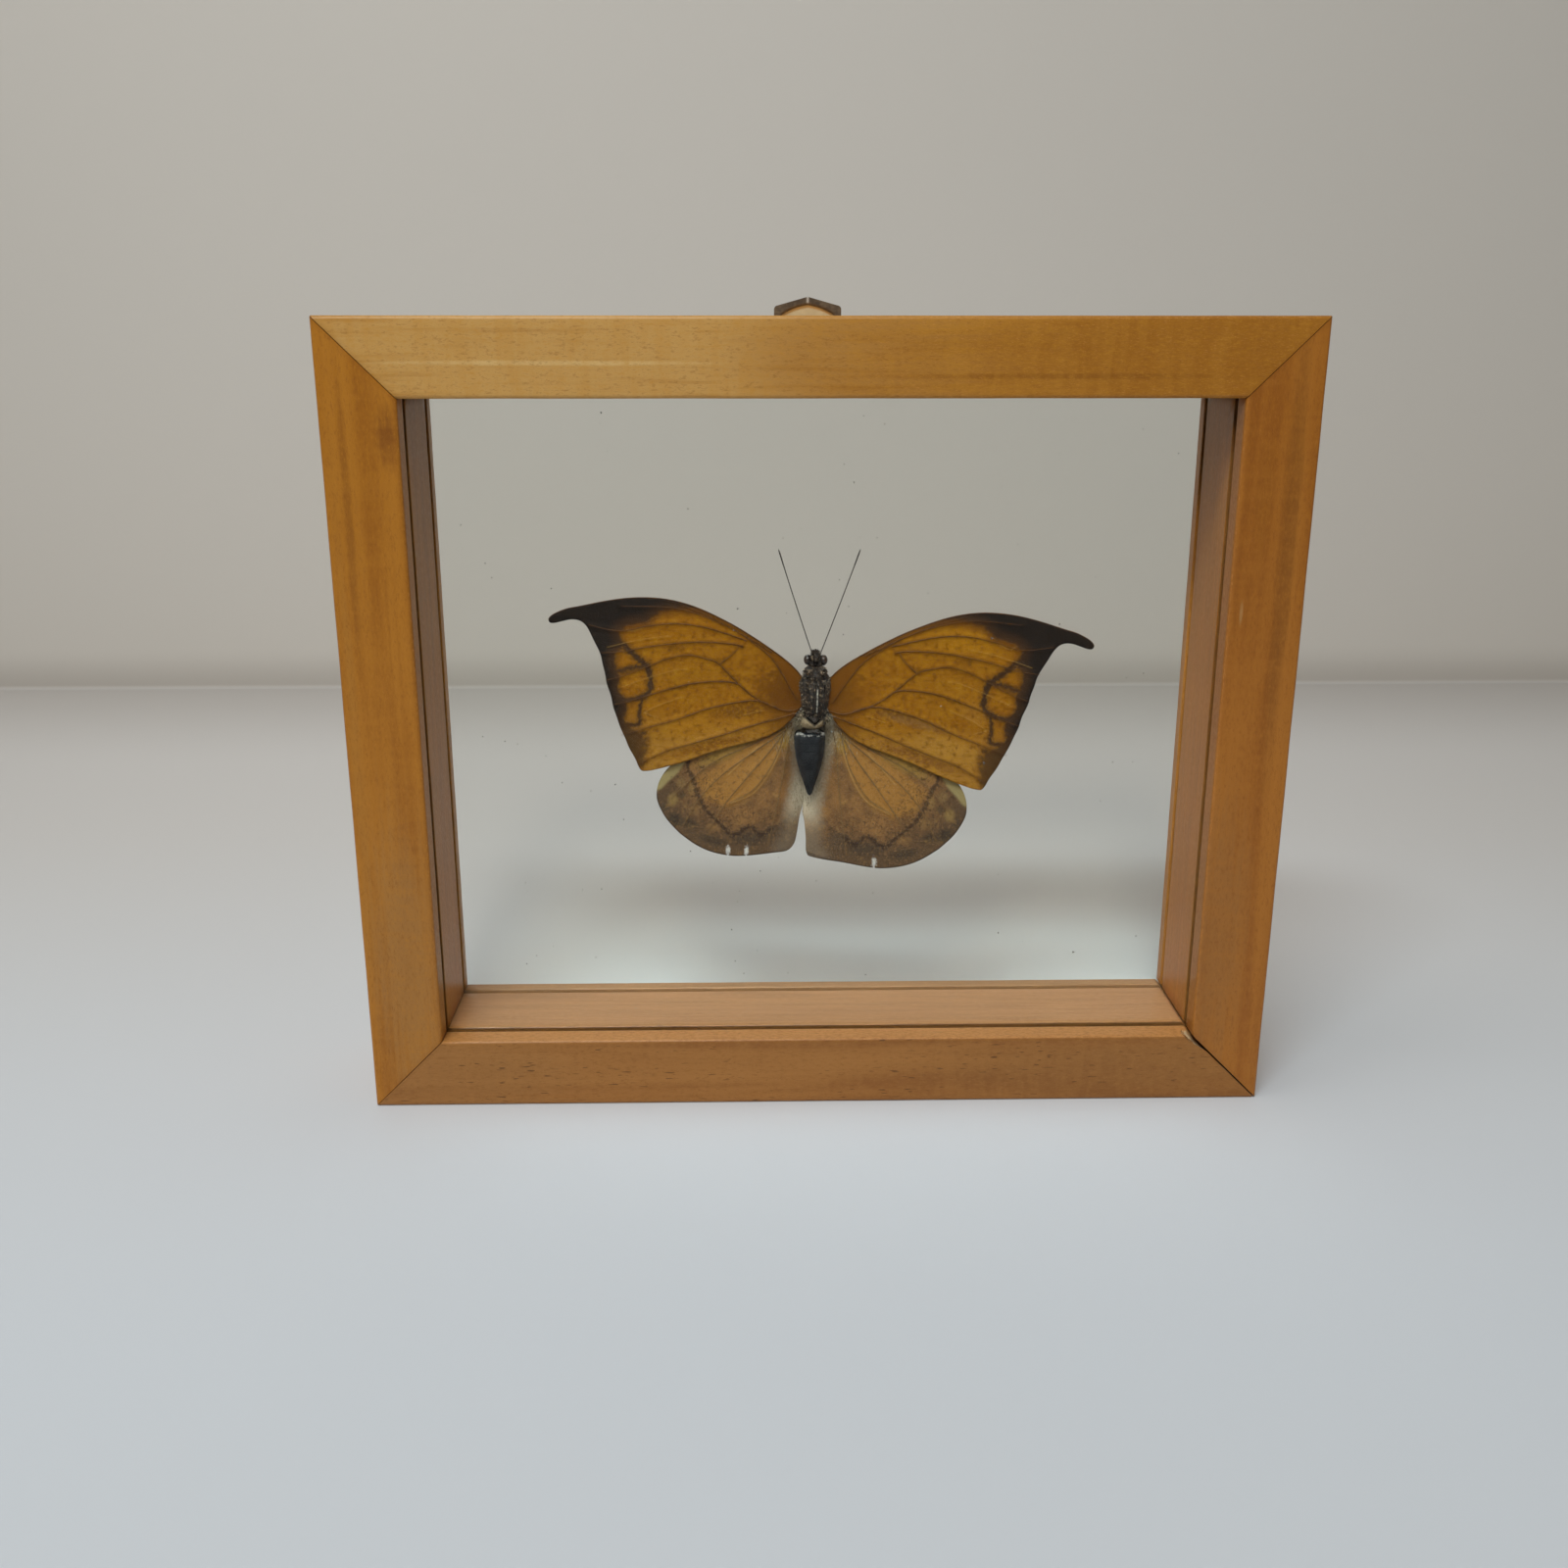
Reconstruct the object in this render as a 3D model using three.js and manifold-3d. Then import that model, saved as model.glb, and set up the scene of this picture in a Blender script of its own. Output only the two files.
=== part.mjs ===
// Framed butterfly specimen: a falcate-winged orange butterfly held between two
// panes of glass in a small mitred wooden frame that stands on its lower rail.
// Millimetres. X runs along the frame, Y away from the viewer, Z up.
// The origin is on the underside of the lower rail, in the middle of its length and depth.

import * as THREE from 'three';
import { ParametricGeometry } from 'three/addons/geometries/ParametricGeometry.js';
import { mergeVertices } from 'three/addons/utils/BufferGeometryUtils.js';
import Module from 'manifold-3d';

const wasm = await Module();
wasm.setup();

// Frame
const FRAME_WIDTH = 150;
const FRAME_HEIGHT = 128;
const FRAME_DEPTH = 25.4;
const RAIL_FACE = 11.8;
const ARRIS_RADIUS = 0.6;
const MITRE_GAP = 0.05;
const OPEN_MITRE_GAP = 0.45;
const CHIP_SIZE = 1.1;

// Glass and the kerfs that hold it
const GLASS_THICKNESS = 2;
const KERF_WIDTH = 2.2;
const KERF_DEPTH = 3;
const PANE_CLEARANCE = 0.5;
const FRONT_LIP = 4;
const CHAMBER_DEPTH = 14.4;
const FRONT_FACE = -FRAME_DEPTH / 2;
const BACK_FACE = FRAME_DEPTH / 2;
const FRONT_KERF = FRONT_FACE + FRONT_LIP;
const BACK_KERF = FRONT_KERF + GLASS_THICKNESS + CHAMBER_DEPTH;

// Hanger plate on the back of the upper rail, and its two nails
const HANGER_X = -1.55;
const HANGER_WIDTH = 10.9;
const HANGER_THICKNESS = 0.8;
const HANGER_BOTTOM = FRAME_HEIGHT - 7.5;
const HANGER_SHOULDER = FRAME_HEIGHT + 1.95;
const HANGER_APEX = FRAME_HEIGHT + 3.3;
const HANGER_CORNER = 0.6;
const PAN_DEPTH = 0.5;
const PAN_HALF_WIDTH = 3.3;
const PAN_HALF_FOOT = 1;
const PAN_WALL = 0.4;
const PAN_BOTTOM = FRAME_HEIGHT - 6.2;
const PAN_SPRINGING = FRAME_HEIGHT + 0.6;
const PAN_TOP = FRAME_HEIGHT + 2.2;
const KEYHOLE_RADIUS = 1.5;
const KEYHOLE_HEIGHT = FRAME_HEIGHT - 2.6;
const KEYHOLE_NECK_RADIUS = 0.8;
const KEYHOLE_NECK_HEIGHT = FRAME_HEIGHT - 0.5;
const NAIL_SPACING = 6.4;
const NAIL_HEIGHT = FRAME_HEIGHT - 4.7;
const NAIL_SHANK_RADIUS = 0.55;
const NAIL_HEAD_RADIUS = 1.1;
const NAIL_HEAD_THICKNESS = 0.5;
const NAIL_DEPTH = 7;
const NAIL_CLEARANCE = 0.08;

// Specimen: its group sits at the middle of the thorax and leans with the body.
// Inside the group x is across, y towards the back pane, z towards the head.
const SPECIMEN_X = -0.4;
const SPECIMEN_Y = 3.6;
const SPECIMEN_Z = 68;
const SPECIMEN_LEAN = THREE.MathUtils.degToRad(1.9);
const BACK_PANE = BACK_KERF - SPECIMEN_Y;
const BODY_CLEARANCE = 0.25;

// Wings: outlines of the right side as [x, z] in the specimen's own frame
const WING_THICKNESS = 0.25;
const WING_SPAN_STEPS = 26;
const FOREWING_CHORDS = [0, 0.35, 0.7, 1];
const HINDWING_CHORDS = [0, 0.45, 0.76, 0.91, 1];
const WING_REACH = 46;
const WING_ARCH = 1.1;
const FOREWING_ROOT = -0.4;
const HINDWING_ROOT = 0.35;
const VEIN_RADIUS = 0.22;
const FOREWING_COSTA = [
  [1.2, -0.6], [2.4, 2.4], [4.6, 4.7], [8.4, 7.3], [12, 9.4], [16, 11.4], [20.2, 13.1],
  [24, 14.1], [28, 14.5], [32.2, 14.2], [36.5, 13.3], [41, 12], [44, 10.8], [46.2, 9.3],
];
const FOREWING_REAR = [
  [1.2, -0.6], [3.2, -4.4], [6.1, -7.3], [9.2, -8.9], [13.3, -10.3], [17.4, -11.8],
  [21.2, -13.5], [26, -15.3], [29.2, -15.9], [31.7, -11.5], [33, -8.9], [34.3, -5.4],
  [35.5, -1.3], [36.7, 1.9], [38.1, 5.4], [40, 8.7], [42, 9.8], [44.1, 9.2], [46.2, 9.3],
];
const HINDWING_COSTA = [
  [1.4, -3.6], [6, -5.4], [12, -7.4], [18, -9.8], [22.2, -12.4], [24.9, -14.9],
  [26.4, -17.5], [26.8, -20], [26.3, -22], [24.8, -24.5], [22.4, -27],
];
const HINDWING_HEM = [
  [5.5, -30], [10.4, -30.7], [13.4, -30.8], [16.6, -30.2], [19.6, -28.9], [22.4, -27],
];
const RIGHT_INNER_MARGIN = [
  [1.4, -3.6], [1, -6.5], [0.2, -10], [-0.3, -15], [-0.5, -20], [-0.7, -25], [-0.4, -28.8],
];
const LEFT_INNER_MARGIN = [
  [1.4, -3.6], [1, -6.5], [0.3, -10], [0.3, -15], [0.3, -20], [0.8, -25], [1.6, -28.8],
];

// The inner margin of each hind wing folds back behind the abdomen
const FOLD_DEPTH = 2.9;
const FOLD_WIDTH = 3;
const FOLD_START = -4;
const FOLD_FULL = -7.5;

// Veins that stand out of each wing's upper face, as [x, z] along the rib
const FOREWING_VEINS = [
  [[4, -2.4], [5.6, 2.6], [8.5, 6.1], [14.3, 9.9], [20.3, 12.2], [26, 13.2], [33, 13]],
  [[11.6, 6.9], [16.2, 9.2], [20.4, 10.2], [24.9, 10.4], [29.5, 9.6], [36, 7.4]],
  [[13.2, 6.9], [17.5, 7.7], [21.2, 7.5], [25.2, 6.9], [29.8, 5.9], [36, 3.8]],
  [[4.4, -3.2], [9.8, -1.7], [13.3, 0.8], [16.8, 4], [22.2, 5.2], [28.5, 2.9], [34.6, -0.6]],
  [[12.9, 0.6], [17.9, 0.9], [21.6, 0.2], [25.7, -1.2], [33.2, -4.6]],
  [[9.4, -1.8], [13.5, -2.5], [18.2, -3.9], [22.9, -6], [31.6, -9.4]],
  [[4.8, -4.3], [10.6, -6.5], [15.4, -8.4], [20.1, -10.2], [28.6, -14]],
  [[17, 4.2], [14.3, 7]],
];
const HINDWING_VEINS = [
  [[4.6, -6.2], [10.3, -9.9], [16, -13], [21, -17.6], [24.2, -21.6]],
  [[4.4, -6.6], [8.6, -11.2], [14, -16], [19.6, -21.6], [21.8, -25.4]],
  [[4.2, -7], [6.6, -12.4], [9.7, -18.2], [13.9, -24], [15.6, -28.6]],
  [[4, -7.4], [5.2, -13.4], [6.6, -20.4], [8.2, -28.4]],
];

// How each wing was set: turn in degrees towards the head, size against the right side
const WING_SETTINGS = {
  right: {
    fore: { mirrored: false, turn: 0, size: 1 },
    hind: { mirrored: false, turn: 0, size: 1 },
    innerMargin: RIGHT_INNER_MARGIN,
  },
  left: {
    fore: { mirrored: true, turn: 2.7, size: 0.97 },
    hind: { mirrored: true, turn: 1.7, size: 0.96 },
    innerMargin: LEFT_INNER_MARGIN,
  },
};

// Body: ellipsoids as centre and radii
const MESOTHORAX = { centre: [0, 0, -0.9], radii: [2.5, 2.4, 4.2] };
const PROTHORAX = { centre: [-0.1, -0.1, 3], radii: [2.1, 1.9, 1.5] };
const METATHORAX = { centre: [-0.4, 0, -5], radii: [2.5, 2.2, 1.5] };
const HEAD_VERTEX = { centre: [-0.1, -0.2, 6.1], radii: [1.1, 1.2, 1.2] };
const EYE_RADII = [0.75, 0.95, 0.95];
const EYE_OFFSET = [1.4, -0.1, 5.6];
const PROBOSCIS_RADIUS = 0.16;
const PROBOSCIS_COIL = 0.75;
const PROBOSCIS_TURNS = 1.6;
const ABDOMEN_START = [-0.6, 0, -6.85];
const ABDOMEN_TIP = [-0.2, 0, -18.4];
const ABDOMEN_SEGMENTS = 7;
const ABDOMEN_PROFILE = [[0, 2.3], [1.6, 2.55], [3.6, 2.4], [6, 2], [8, 1.4], [9.8, 0.8], [11.3, 0.3]];
const ABDOMEN_STEP = 0.12;
const ANTENNA_SHAFT = 0.13;
const ANTENNA_CLUB = 0.2;
const ANTENNAE = {
  antenna_left: { base: [-0.75, -0.9, 7.4], tip: [-6.9, -1.7, 23.9] },
  antenna_right: { base: [0.6, -0.9, 7.4], tip: [6.4, -1.7, 24.3] },
};
const LEG_RADIUS = 0.24;
const MIDDLE_LEG = [[1.5, 2.6, 0.8], [3.6, 3.1, 3.1], [3.4, 3.4, 0], [2.9, 3.6, -3.6]];
const HIND_LEG = [[1.4, 2.6, -2], [4.3, 3.1, -2.6], [3.6, 3.5, -5.6], [2.4, 3.6, -8.8]];
const DAB_RADIUS = 1.5;
const DAB_NECK = 1;

// Finishes
const wood = new THREE.MeshStandardMaterial({ color: 0xb9772f, roughness: 0.5 });
const glass = new THREE.MeshStandardMaterial({ color: 0xe8f0ee, roughness: 0.05, opacity: 0.2 });
glass.transparent = true;
const bronzedSteel = new THREE.MeshStandardMaterial({ color: 0x6a5a32, roughness: 0.35, metalness: 0.9 });
const steel = new THREE.MeshStandardMaterial({ color: 0x9a958a, roughness: 0.35, metalness: 0.9 });
const forewingScales = new THREE.MeshStandardMaterial({ color: 0xb06a1c, roughness: 0.75 });
const hindwingScales = new THREE.MeshStandardMaterial({ color: 0x8f6332, roughness: 0.8 });
const bodyHair = new THREE.MeshStandardMaterial({ color: 0x4d3a2c, roughness: 0.85 });
const darkShell = new THREE.MeshStandardMaterial({ color: 0x1d2730, roughness: 0.5 });
const antennaShell = new THREE.MeshStandardMaterial({ color: 0x241c18, roughness: 0.6 });
const clearGlue = new THREE.MeshStandardMaterial({ color: 0xe6e2d2, roughness: 0.2, opacity: 0.5 });
clearGlue.transparent = true;

// Turns a closed three.js geometry into a solid for joining and cutting
function toSolid(geometry) {
  const bare = geometry.clone();
  bare.deleteAttribute('normal');
  bare.deleteAttribute('uv');
  const merged = mergeVertices(bare, 1e-4);
  return new wasm.Manifold(new wasm.Mesh({
    numProp: 3,
    vertProperties: new Float32Array(merged.attributes.position.array),
    triVerts: new Uint32Array(merged.index.array),
  }));
}

// Turns a solid back into a three.js geometry
function toGeometry(solid) {
  const mesh = solid.getMesh();
  const geometry = new THREE.BufferGeometry();
  geometry.setAttribute('position', new THREE.BufferAttribute(mesh.vertProperties, 3));
  geometry.setIndex(new THREE.BufferAttribute(mesh.triVerts, 1));
  return geometry;
}

function joined(solids) {
  return solids.reduce((whole, solid) => whole.add(solid));
}

function namedMesh(name, geometry, material) {
  const mesh = new THREE.Mesh(geometry, material);
  mesh.name = name;
  return mesh;
}

// A shape drawn in the [x, z] plane and given a thickness along Y from the height `front`
function slab(shape, front, thickness, curveSegments = 6) {
  const geometry = new THREE.ExtrudeGeometry(shape, { depth: thickness, bevelEnabled: false, curveSegments });
  const basis = new THREE.Matrix4().makeBasis(
    new THREE.Vector3(1, 0, 0), new THREE.Vector3(0, 0, 1), new THREE.Vector3(0, -1, 0));
  return geometry.applyMatrix4(basis).translate(0, front + thickness, 0);
}

function polygon(points) {
  return new THREE.Shape(points.map(([x, y]) => new THREE.Vector2(x, y)));
}

// Rail section: x is depth through the frame, y is height from the outer face
function railSection() {
  const section = new THREE.Shape();
  const r = ARRIS_RADIUS;
  section.moveTo(FRONT_FACE, r);
  section.absarc(FRONT_FACE + r, r, r, Math.PI, 1.5 * Math.PI, false);
  section.absarc(BACK_FACE - r, r, r, 1.5 * Math.PI, 2 * Math.PI, false);
  section.absarc(BACK_FACE - r, RAIL_FACE - r, r, 0, 0.5 * Math.PI, false);
  for (const kerf of [BACK_KERF, FRONT_KERF]) {
    section.lineTo(kerf + KERF_WIDTH, RAIL_FACE);
    section.lineTo(kerf + KERF_WIDTH, RAIL_FACE - KERF_DEPTH);
    section.lineTo(kerf, RAIL_FACE - KERF_DEPTH);
    section.lineTo(kerf, RAIL_FACE);
  }
  section.absarc(FRONT_FACE + r, RAIL_FACE - r, r, 0.5 * Math.PI, Math.PI, false);
  return section;
}

// One moulding lying along X with its outer face down and both ends mitred
function railSolid(length, innerGapAtEnd = MITRE_GAP) {
  const extrusion = { depth: length, bevelEnabled: false, curveSegments: 3 };
  const bar = new THREE.ExtrudeGeometry(railSection(), extrusion);
  bar.applyMatrix4(new THREE.Matrix4().makeBasis(
    new THREE.Vector3(0, 1, 0), new THREE.Vector3(0, 0, 1), new THREE.Vector3(1, 0, 0)));
  bar.translate(-length / 2, 0, 0);
  const half = length / 2;
  const trapezium = polygon([
    [-half + MITRE_GAP, 0], [half - MITRE_GAP, 0],
    [half - RAIL_FACE - innerGapAtEnd, RAIL_FACE], [-half + RAIL_FACE + MITRE_GAP, RAIL_FACE],
  ]);
  return toSolid(bar).intersect(toSolid(slab(trapezium, FRONT_FACE - 1, FRAME_DEPTH + 2)));
}

// The splinter that has broken out of the lower rail's right inner corner
function chipSolid() {
  const chip = new THREE.TetrahedronGeometry(CHIP_SIZE);
  const corner = FRAME_WIDTH / 2 - RAIL_FACE - OPEN_MITRE_GAP;
  return toSolid(chip).translate([corner, FRONT_FACE, RAIL_FACE]);
}

function nailHole(x) {
  const hole = new THREE.CylinderGeometry(
    NAIL_SHANK_RADIUS + NAIL_CLEARANCE, NAIL_SHANK_RADIUS + NAIL_CLEARANCE, 2 * NAIL_DEPTH + 2, 8);
  hole.translate(x, BACK_FACE, NAIL_HEIGHT);
  return toSolid(hole);
}

function makeRails() {
  const rails = new THREE.Group();
  const lowerSolid = railSolid(FRAME_WIDTH, OPEN_MITRE_GAP).subtract(chipSolid());
  const lower = namedMesh('rail_bottom', toGeometry(lowerSolid), wood);
  const left = namedMesh('rail_left', toGeometry(railSolid(FRAME_HEIGHT)), wood);
  left.position.set(-FRAME_WIDTH / 2, 0, FRAME_HEIGHT / 2);
  left.rotation.y = Math.PI / 2;
  const right = namedMesh('rail_right', toGeometry(railSolid(FRAME_HEIGHT)), wood);
  right.position.set(FRAME_WIDTH / 2, 0, FRAME_HEIGHT / 2);
  right.rotation.y = -Math.PI / 2;
  const upperSolid = railSolid(FRAME_WIDTH).rotate([0, 180, 0]).translate([0, 0, FRAME_HEIGHT]);
  const holes = nailPlaces().map((x) => nailHole(x));
  const upper = namedMesh('rail_top', toGeometry(upperSolid.subtract(joined(holes))), wood);
  rails.add(lower, left, right, upper);
  return rails;
}

function makePane(name, front) {
  const openingWidth = FRAME_WIDTH - 2 * RAIL_FACE;
  const openingHeight = FRAME_HEIGHT - 2 * RAIL_FACE;
  const width = openingWidth + 2 * (KERF_DEPTH - PANE_CLEARANCE);
  const height = openingHeight + 2 * KERF_DEPTH - PANE_CLEARANCE;
  const pane = namedMesh(name, new THREE.BoxGeometry(width, GLASS_THICKNESS, height), glass);
  pane.position.set(0, front + GLASS_THICKNESS / 2, RAIL_FACE - KERF_DEPTH + height / 2);
  return pane;
}

function nailPlaces() {
  return [HANGER_X - NAIL_SPACING / 2, HANGER_X + NAIL_SPACING / 2];
}

// House-shaped plate with rounded shoulders
function plateShape() {
  const half = HANGER_WIDTH / 2;
  const r = HANGER_CORNER;
  const plate = new THREE.Shape();
  plate.moveTo(HANGER_X - half + r, HANGER_BOTTOM);
  plate.lineTo(HANGER_X + half - r, HANGER_BOTTOM);
  plate.absarc(HANGER_X + half - r, HANGER_BOTTOM + r, r, -Math.PI / 2, 0, false);
  plate.absarc(HANGER_X + half - r, HANGER_SHOULDER - r, r, 0, 0.42 * Math.PI, false);
  plate.lineTo(HANGER_X, HANGER_APEX);
  plate.absarc(HANGER_X - half + r, HANGER_SHOULDER - r, r, 0.58 * Math.PI, Math.PI, false);
  plate.absarc(HANGER_X - half + r, HANGER_BOTTOM + r, r, Math.PI, 1.5 * Math.PI, false);
  return plate;
}

// The arched field that is pressed out of the plate, so that a nail's head fits behind it
function panShape(margin) {
  const wide = PAN_HALF_WIDTH + margin;
  const foot = PAN_HALF_FOOT + margin;
  const top = PAN_TOP + margin;
  const pan = new THREE.Shape();
  pan.moveTo(HANGER_X - foot, PAN_BOTTOM - margin);
  pan.lineTo(HANGER_X + foot, PAN_BOTTOM - margin);
  pan.lineTo(HANGER_X + wide, PAN_SPRINGING);
  pan.quadraticCurveTo(HANGER_X + wide * 0.6, top, HANGER_X, top);
  pan.quadraticCurveTo(HANGER_X - wide * 0.6, top, HANGER_X - wide, PAN_SPRINGING);
  return pan;
}

// The nail's head goes in at the round hole, and its shank slides up the neck
function keyholeShape() {
  const keyhole = new THREE.Shape();
  const spread = Math.asin(KEYHOLE_NECK_RADIUS / KEYHOLE_RADIUS);
  const up = Math.PI / 2;
  keyhole.absarc(HANGER_X, KEYHOLE_HEIGHT, KEYHOLE_RADIUS, up + spread, 2 * Math.PI + up - spread, false);
  keyhole.absarc(HANGER_X, KEYHOLE_NECK_HEIGHT, KEYHOLE_NECK_RADIUS, 0, Math.PI, false);
  return keyhole;
}

function plateSolid() {
  const holes = nailPlaces().map((x) => nailHole(x));
  const flat = toSolid(slab(plateShape(), BACK_FACE, HANGER_THICKNESS));
  const pan = toSolid(slab(panShape(PAN_WALL), BACK_FACE, HANGER_THICKNESS + PAN_DEPTH));
  const hollow = toSolid(slab(panShape(0), BACK_FACE - 1, PAN_DEPTH + 1));
  const keyhole = toSolid(slab(keyholeShape(), BACK_FACE - 1, HANGER_THICKNESS + PAN_DEPTH + 2));
  return flat.add(pan).subtract(joined([hollow, keyhole, ...holes]));
}

function makeHanger() {
  const hanger = new THREE.Group();
  hanger.add(namedMesh('hanger_plate', toGeometry(plateSolid()), bronzedSteel));
  const profile = [
    [0, -NAIL_DEPTH], [NAIL_SHANK_RADIUS, -NAIL_DEPTH + 1.2], [NAIL_SHANK_RADIUS, 0], [NAIL_HEAD_RADIUS, 0],
    [NAIL_HEAD_RADIUS * 0.8, NAIL_HEAD_THICKNESS * 0.75], [0, NAIL_HEAD_THICKNESS],
  ];
  const names = ['hanger_nail_left', 'hanger_nail_right'];
  nailPlaces().forEach((x, i) => {
    const points = profile.map(([radius, along]) => new THREE.Vector2(radius, along));
    const nail = namedMesh(names[i], new THREE.LatheGeometry(points, 10), steel);
    nail.position.set(x, BACK_FACE + HANGER_THICKNESS, NAIL_HEIGHT);
    hanger.add(nail);
  });
  return hanger;
}

// Height of a wing over the mid-plane of the body: both pairs arch forward together
function archedHeight(root, x) {
  return root - WING_ARCH * Math.sin(Math.PI * THREE.MathUtils.clamp(x / WING_REACH, 0, 1));
}

function forewingHeight(x) {
  return archedHeight(FOREWING_ROOT, x);
}

function hindwingHeight(x, z) {
  const started = 1 - THREE.MathUtils.smoothstep(z, FOLD_FULL, FOLD_START);
  const relaxed = 0.4 + 0.6 * THREE.MathUtils.smoothstep(z, -28, -16);
  const fold = FOLD_DEPTH * started * relaxed * Math.exp(-((Math.max(x, 0) / FOLD_WIDTH) ** 2));
  return archedHeight(HINDWING_ROOT, x) + fold;
}

const FOREWING = {
  leading: FOREWING_COSTA,
  trailing: FOREWING_REAR,
  veins: FOREWING_VEINS,
  chords: FOREWING_CHORDS,
  height: forewingHeight,
};

// The hind wings differ only in where the inner margin lies
function hindwingWith(innerMargin) {
  return {
    leading: HINDWING_COSTA,
    trailing: [...innerMargin, ...HINDWING_HEM],
    veins: HINDWING_VEINS,
    chords: HINDWING_CHORDS,
    height: hindwingHeight,
  };
}

// A thin plate between a leading curve and a trailing curve that meet at both ends.
// `chords` are the shares of the way from the leading to the trailing curve that get an edge.
function wingPlate(leading, trailing, height, chords) {
  const front = new THREE.SplineCurve(leading.map(([x, z]) => new THREE.Vector2(x, z)));
  const rear = new THREE.SplineCurve(trailing.map(([x, z]) => new THREE.Vector2(x, z)));
  const rows = chords.length - 1;
  const surface = (around, along, target) => {
    const step = Math.round(2 * around * rows);
    const chord = chords[Math.min(step, 2 * rows - step)];
    const side = Math.sign(around - 0.5);
    const inside = chord > 0 && chord < 1 && along > 1e-6 && along < 1 - 1e-6;
    const place = front.getPointAt(along).lerp(rear.getPointAt(along), chord);
    const offset = inside ? side * WING_THICKNESS / 2 : 0;
    target.set(place.x, height(place.x, place.y) + offset, place.y);
  };
  return new ParametricGeometry(surface, 2 * rows, WING_SPAN_STEPS);
}

function regularSection(radius, sides) {
  return polygon(Array.from({ length: sides }, (_, i) => {
    const corner = 2 * Math.PI * i / sides;
    return [radius * Math.cos(corner), radius * Math.sin(corner)];
  }));
}

// A round rod along a smooth curve through the given points
function rod(points, radius, sides, steps) {
  const places = points.map(([x, y, z]) => new THREE.Vector3(x, y, z));
  const path = new THREE.CatmullRomCurve3(places, false, 'centripetal');
  return new THREE.ExtrudeGeometry(regularSection(radius, sides), { steps, extrudePath: path });
}

// A whole wing: plate and ribs in one solid, turned and sized as it was set
function wingSolid({ leading, trailing, veins, height, chords }, { mirrored, turn, size }) {
  const plate = toSolid(wingPlate(leading, trailing, height, chords));
  const ribs = veins.map((vein) => {
    const line = vein.map(([x, z]) => [x, height(x, z) - WING_THICKNESS / 2, z]);
    return toSolid(rod(line, VEIN_RADIUS, 3, vein.length - 1));
  });
  const set = joined([plate, ...ribs]).scale([size, 1, size]).rotate([0, -turn, 0]);
  return mirrored ? set.scale([-1, 1, 1]) : set;
}

function ellipsoid({ centre, radii }, around, along, growth = 0) {
  const ball = new THREE.SphereGeometry(1, around, along);
  ball.rotateX(Math.PI / 2);
  ball.scale(radii[0] + growth, radii[1] + growth, radii[2] + growth);
  return toSolid(ball.translate(...centre));
}

function thoraxSolid(growth = 0) {
  const parts = [MESOTHORAX, PROTHORAX, METATHORAX];
  return joined(parts.map((part) => ellipsoid(part, 12, 8, growth)));
}

function headSolid(growth = 0) {
  const eyes = [-1, 1].map((side) => {
    const centre = [side * EYE_OFFSET[0] - 0.1, EYE_OFFSET[1], EYE_OFFSET[2]];
    return ellipsoid({ centre, radii: EYE_RADII }, 10, 7, growth);
  });
  return joined([ellipsoid(HEAD_VERTEX, 10, 7, growth), ...eyes]);
}

// The tongue, coiled up like a watch spring under the head
function proboscisSolid() {
  const steps = 14;
  const points = Array.from({ length: steps + 1 }, (_, i) => {
    const share = i / steps;
    const angle = 2 * Math.PI * PROBOSCIS_TURNS * share;
    const radius = PROBOSCIS_COIL * (1 - 0.55 * share);
    return [-0.1, 1.35 - radius * Math.cos(angle), 6.3 + radius * Math.sin(angle)];
  });
  return toSolid(rod(points, PROBOSCIS_RADIUS, 5, 22));
}

// Spindle of overlapping rings; each ring steps in a little at its rear edge
function abdomenSolid() {
  const places = ABDOMEN_PROFILE.map(([along, radius]) => new THREE.Vector2(along, radius));
  const spine = new THREE.SplineCurve(places);
  const profile = [new THREE.Vector2(0, 0)];
  for (let ring = 0; ring < ABDOMEN_SEGMENTS; ring += 1) {
    const start = spine.getPointAt(ring / ABDOMEN_SEGMENTS);
    const end = spine.getPointAt((ring + 0.92) / ABDOMEN_SEGMENTS);
    profile.push(new THREE.Vector2(start.y - ABDOMEN_STEP, start.x), new THREE.Vector2(end.y, end.x));
  }
  const last = ABDOMEN_PROFILE[ABDOMEN_PROFILE.length - 1];
  profile.push(new THREE.Vector2(0, last[0] + 0.25));
  const spindle = new THREE.LatheGeometry(profile, 12);
  const start = new THREE.Vector3(...ABDOMEN_START);
  const axis = new THREE.Vector3(...ABDOMEN_TIP).sub(start).normalize();
  spindle.applyQuaternion(new THREE.Quaternion().setFromUnitVectors(new THREE.Vector3(0, 1, 0), axis));
  return toSolid(spindle.translate(start.x, start.y, start.z));
}

function makeAntenna(name, { base, tip }) {
  const start = new THREE.Vector3(...base);
  const direction = new THREE.Vector3(...tip).sub(start);
  const length = direction.length();
  const profile = [
    [0, 0], [ANTENNA_SHAFT * 1.4, 0.1], [ANTENNA_SHAFT, 1], [ANTENNA_SHAFT, 0.72 * length],
    [ANTENNA_CLUB, 0.86 * length], [ANTENNA_CLUB * 0.8, 0.97 * length], [0, length],
  ];
  const points = profile.map(([radius, along]) => new THREE.Vector2(radius, along));
  const antenna = namedMesh(name, new THREE.LatheGeometry(points, 8), antennaShell);
  antenna.position.copy(start);
  antenna.quaternion.setFromUnitVectors(new THREE.Vector3(0, 1, 0), direction.normalize());
  return antenna;
}

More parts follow.
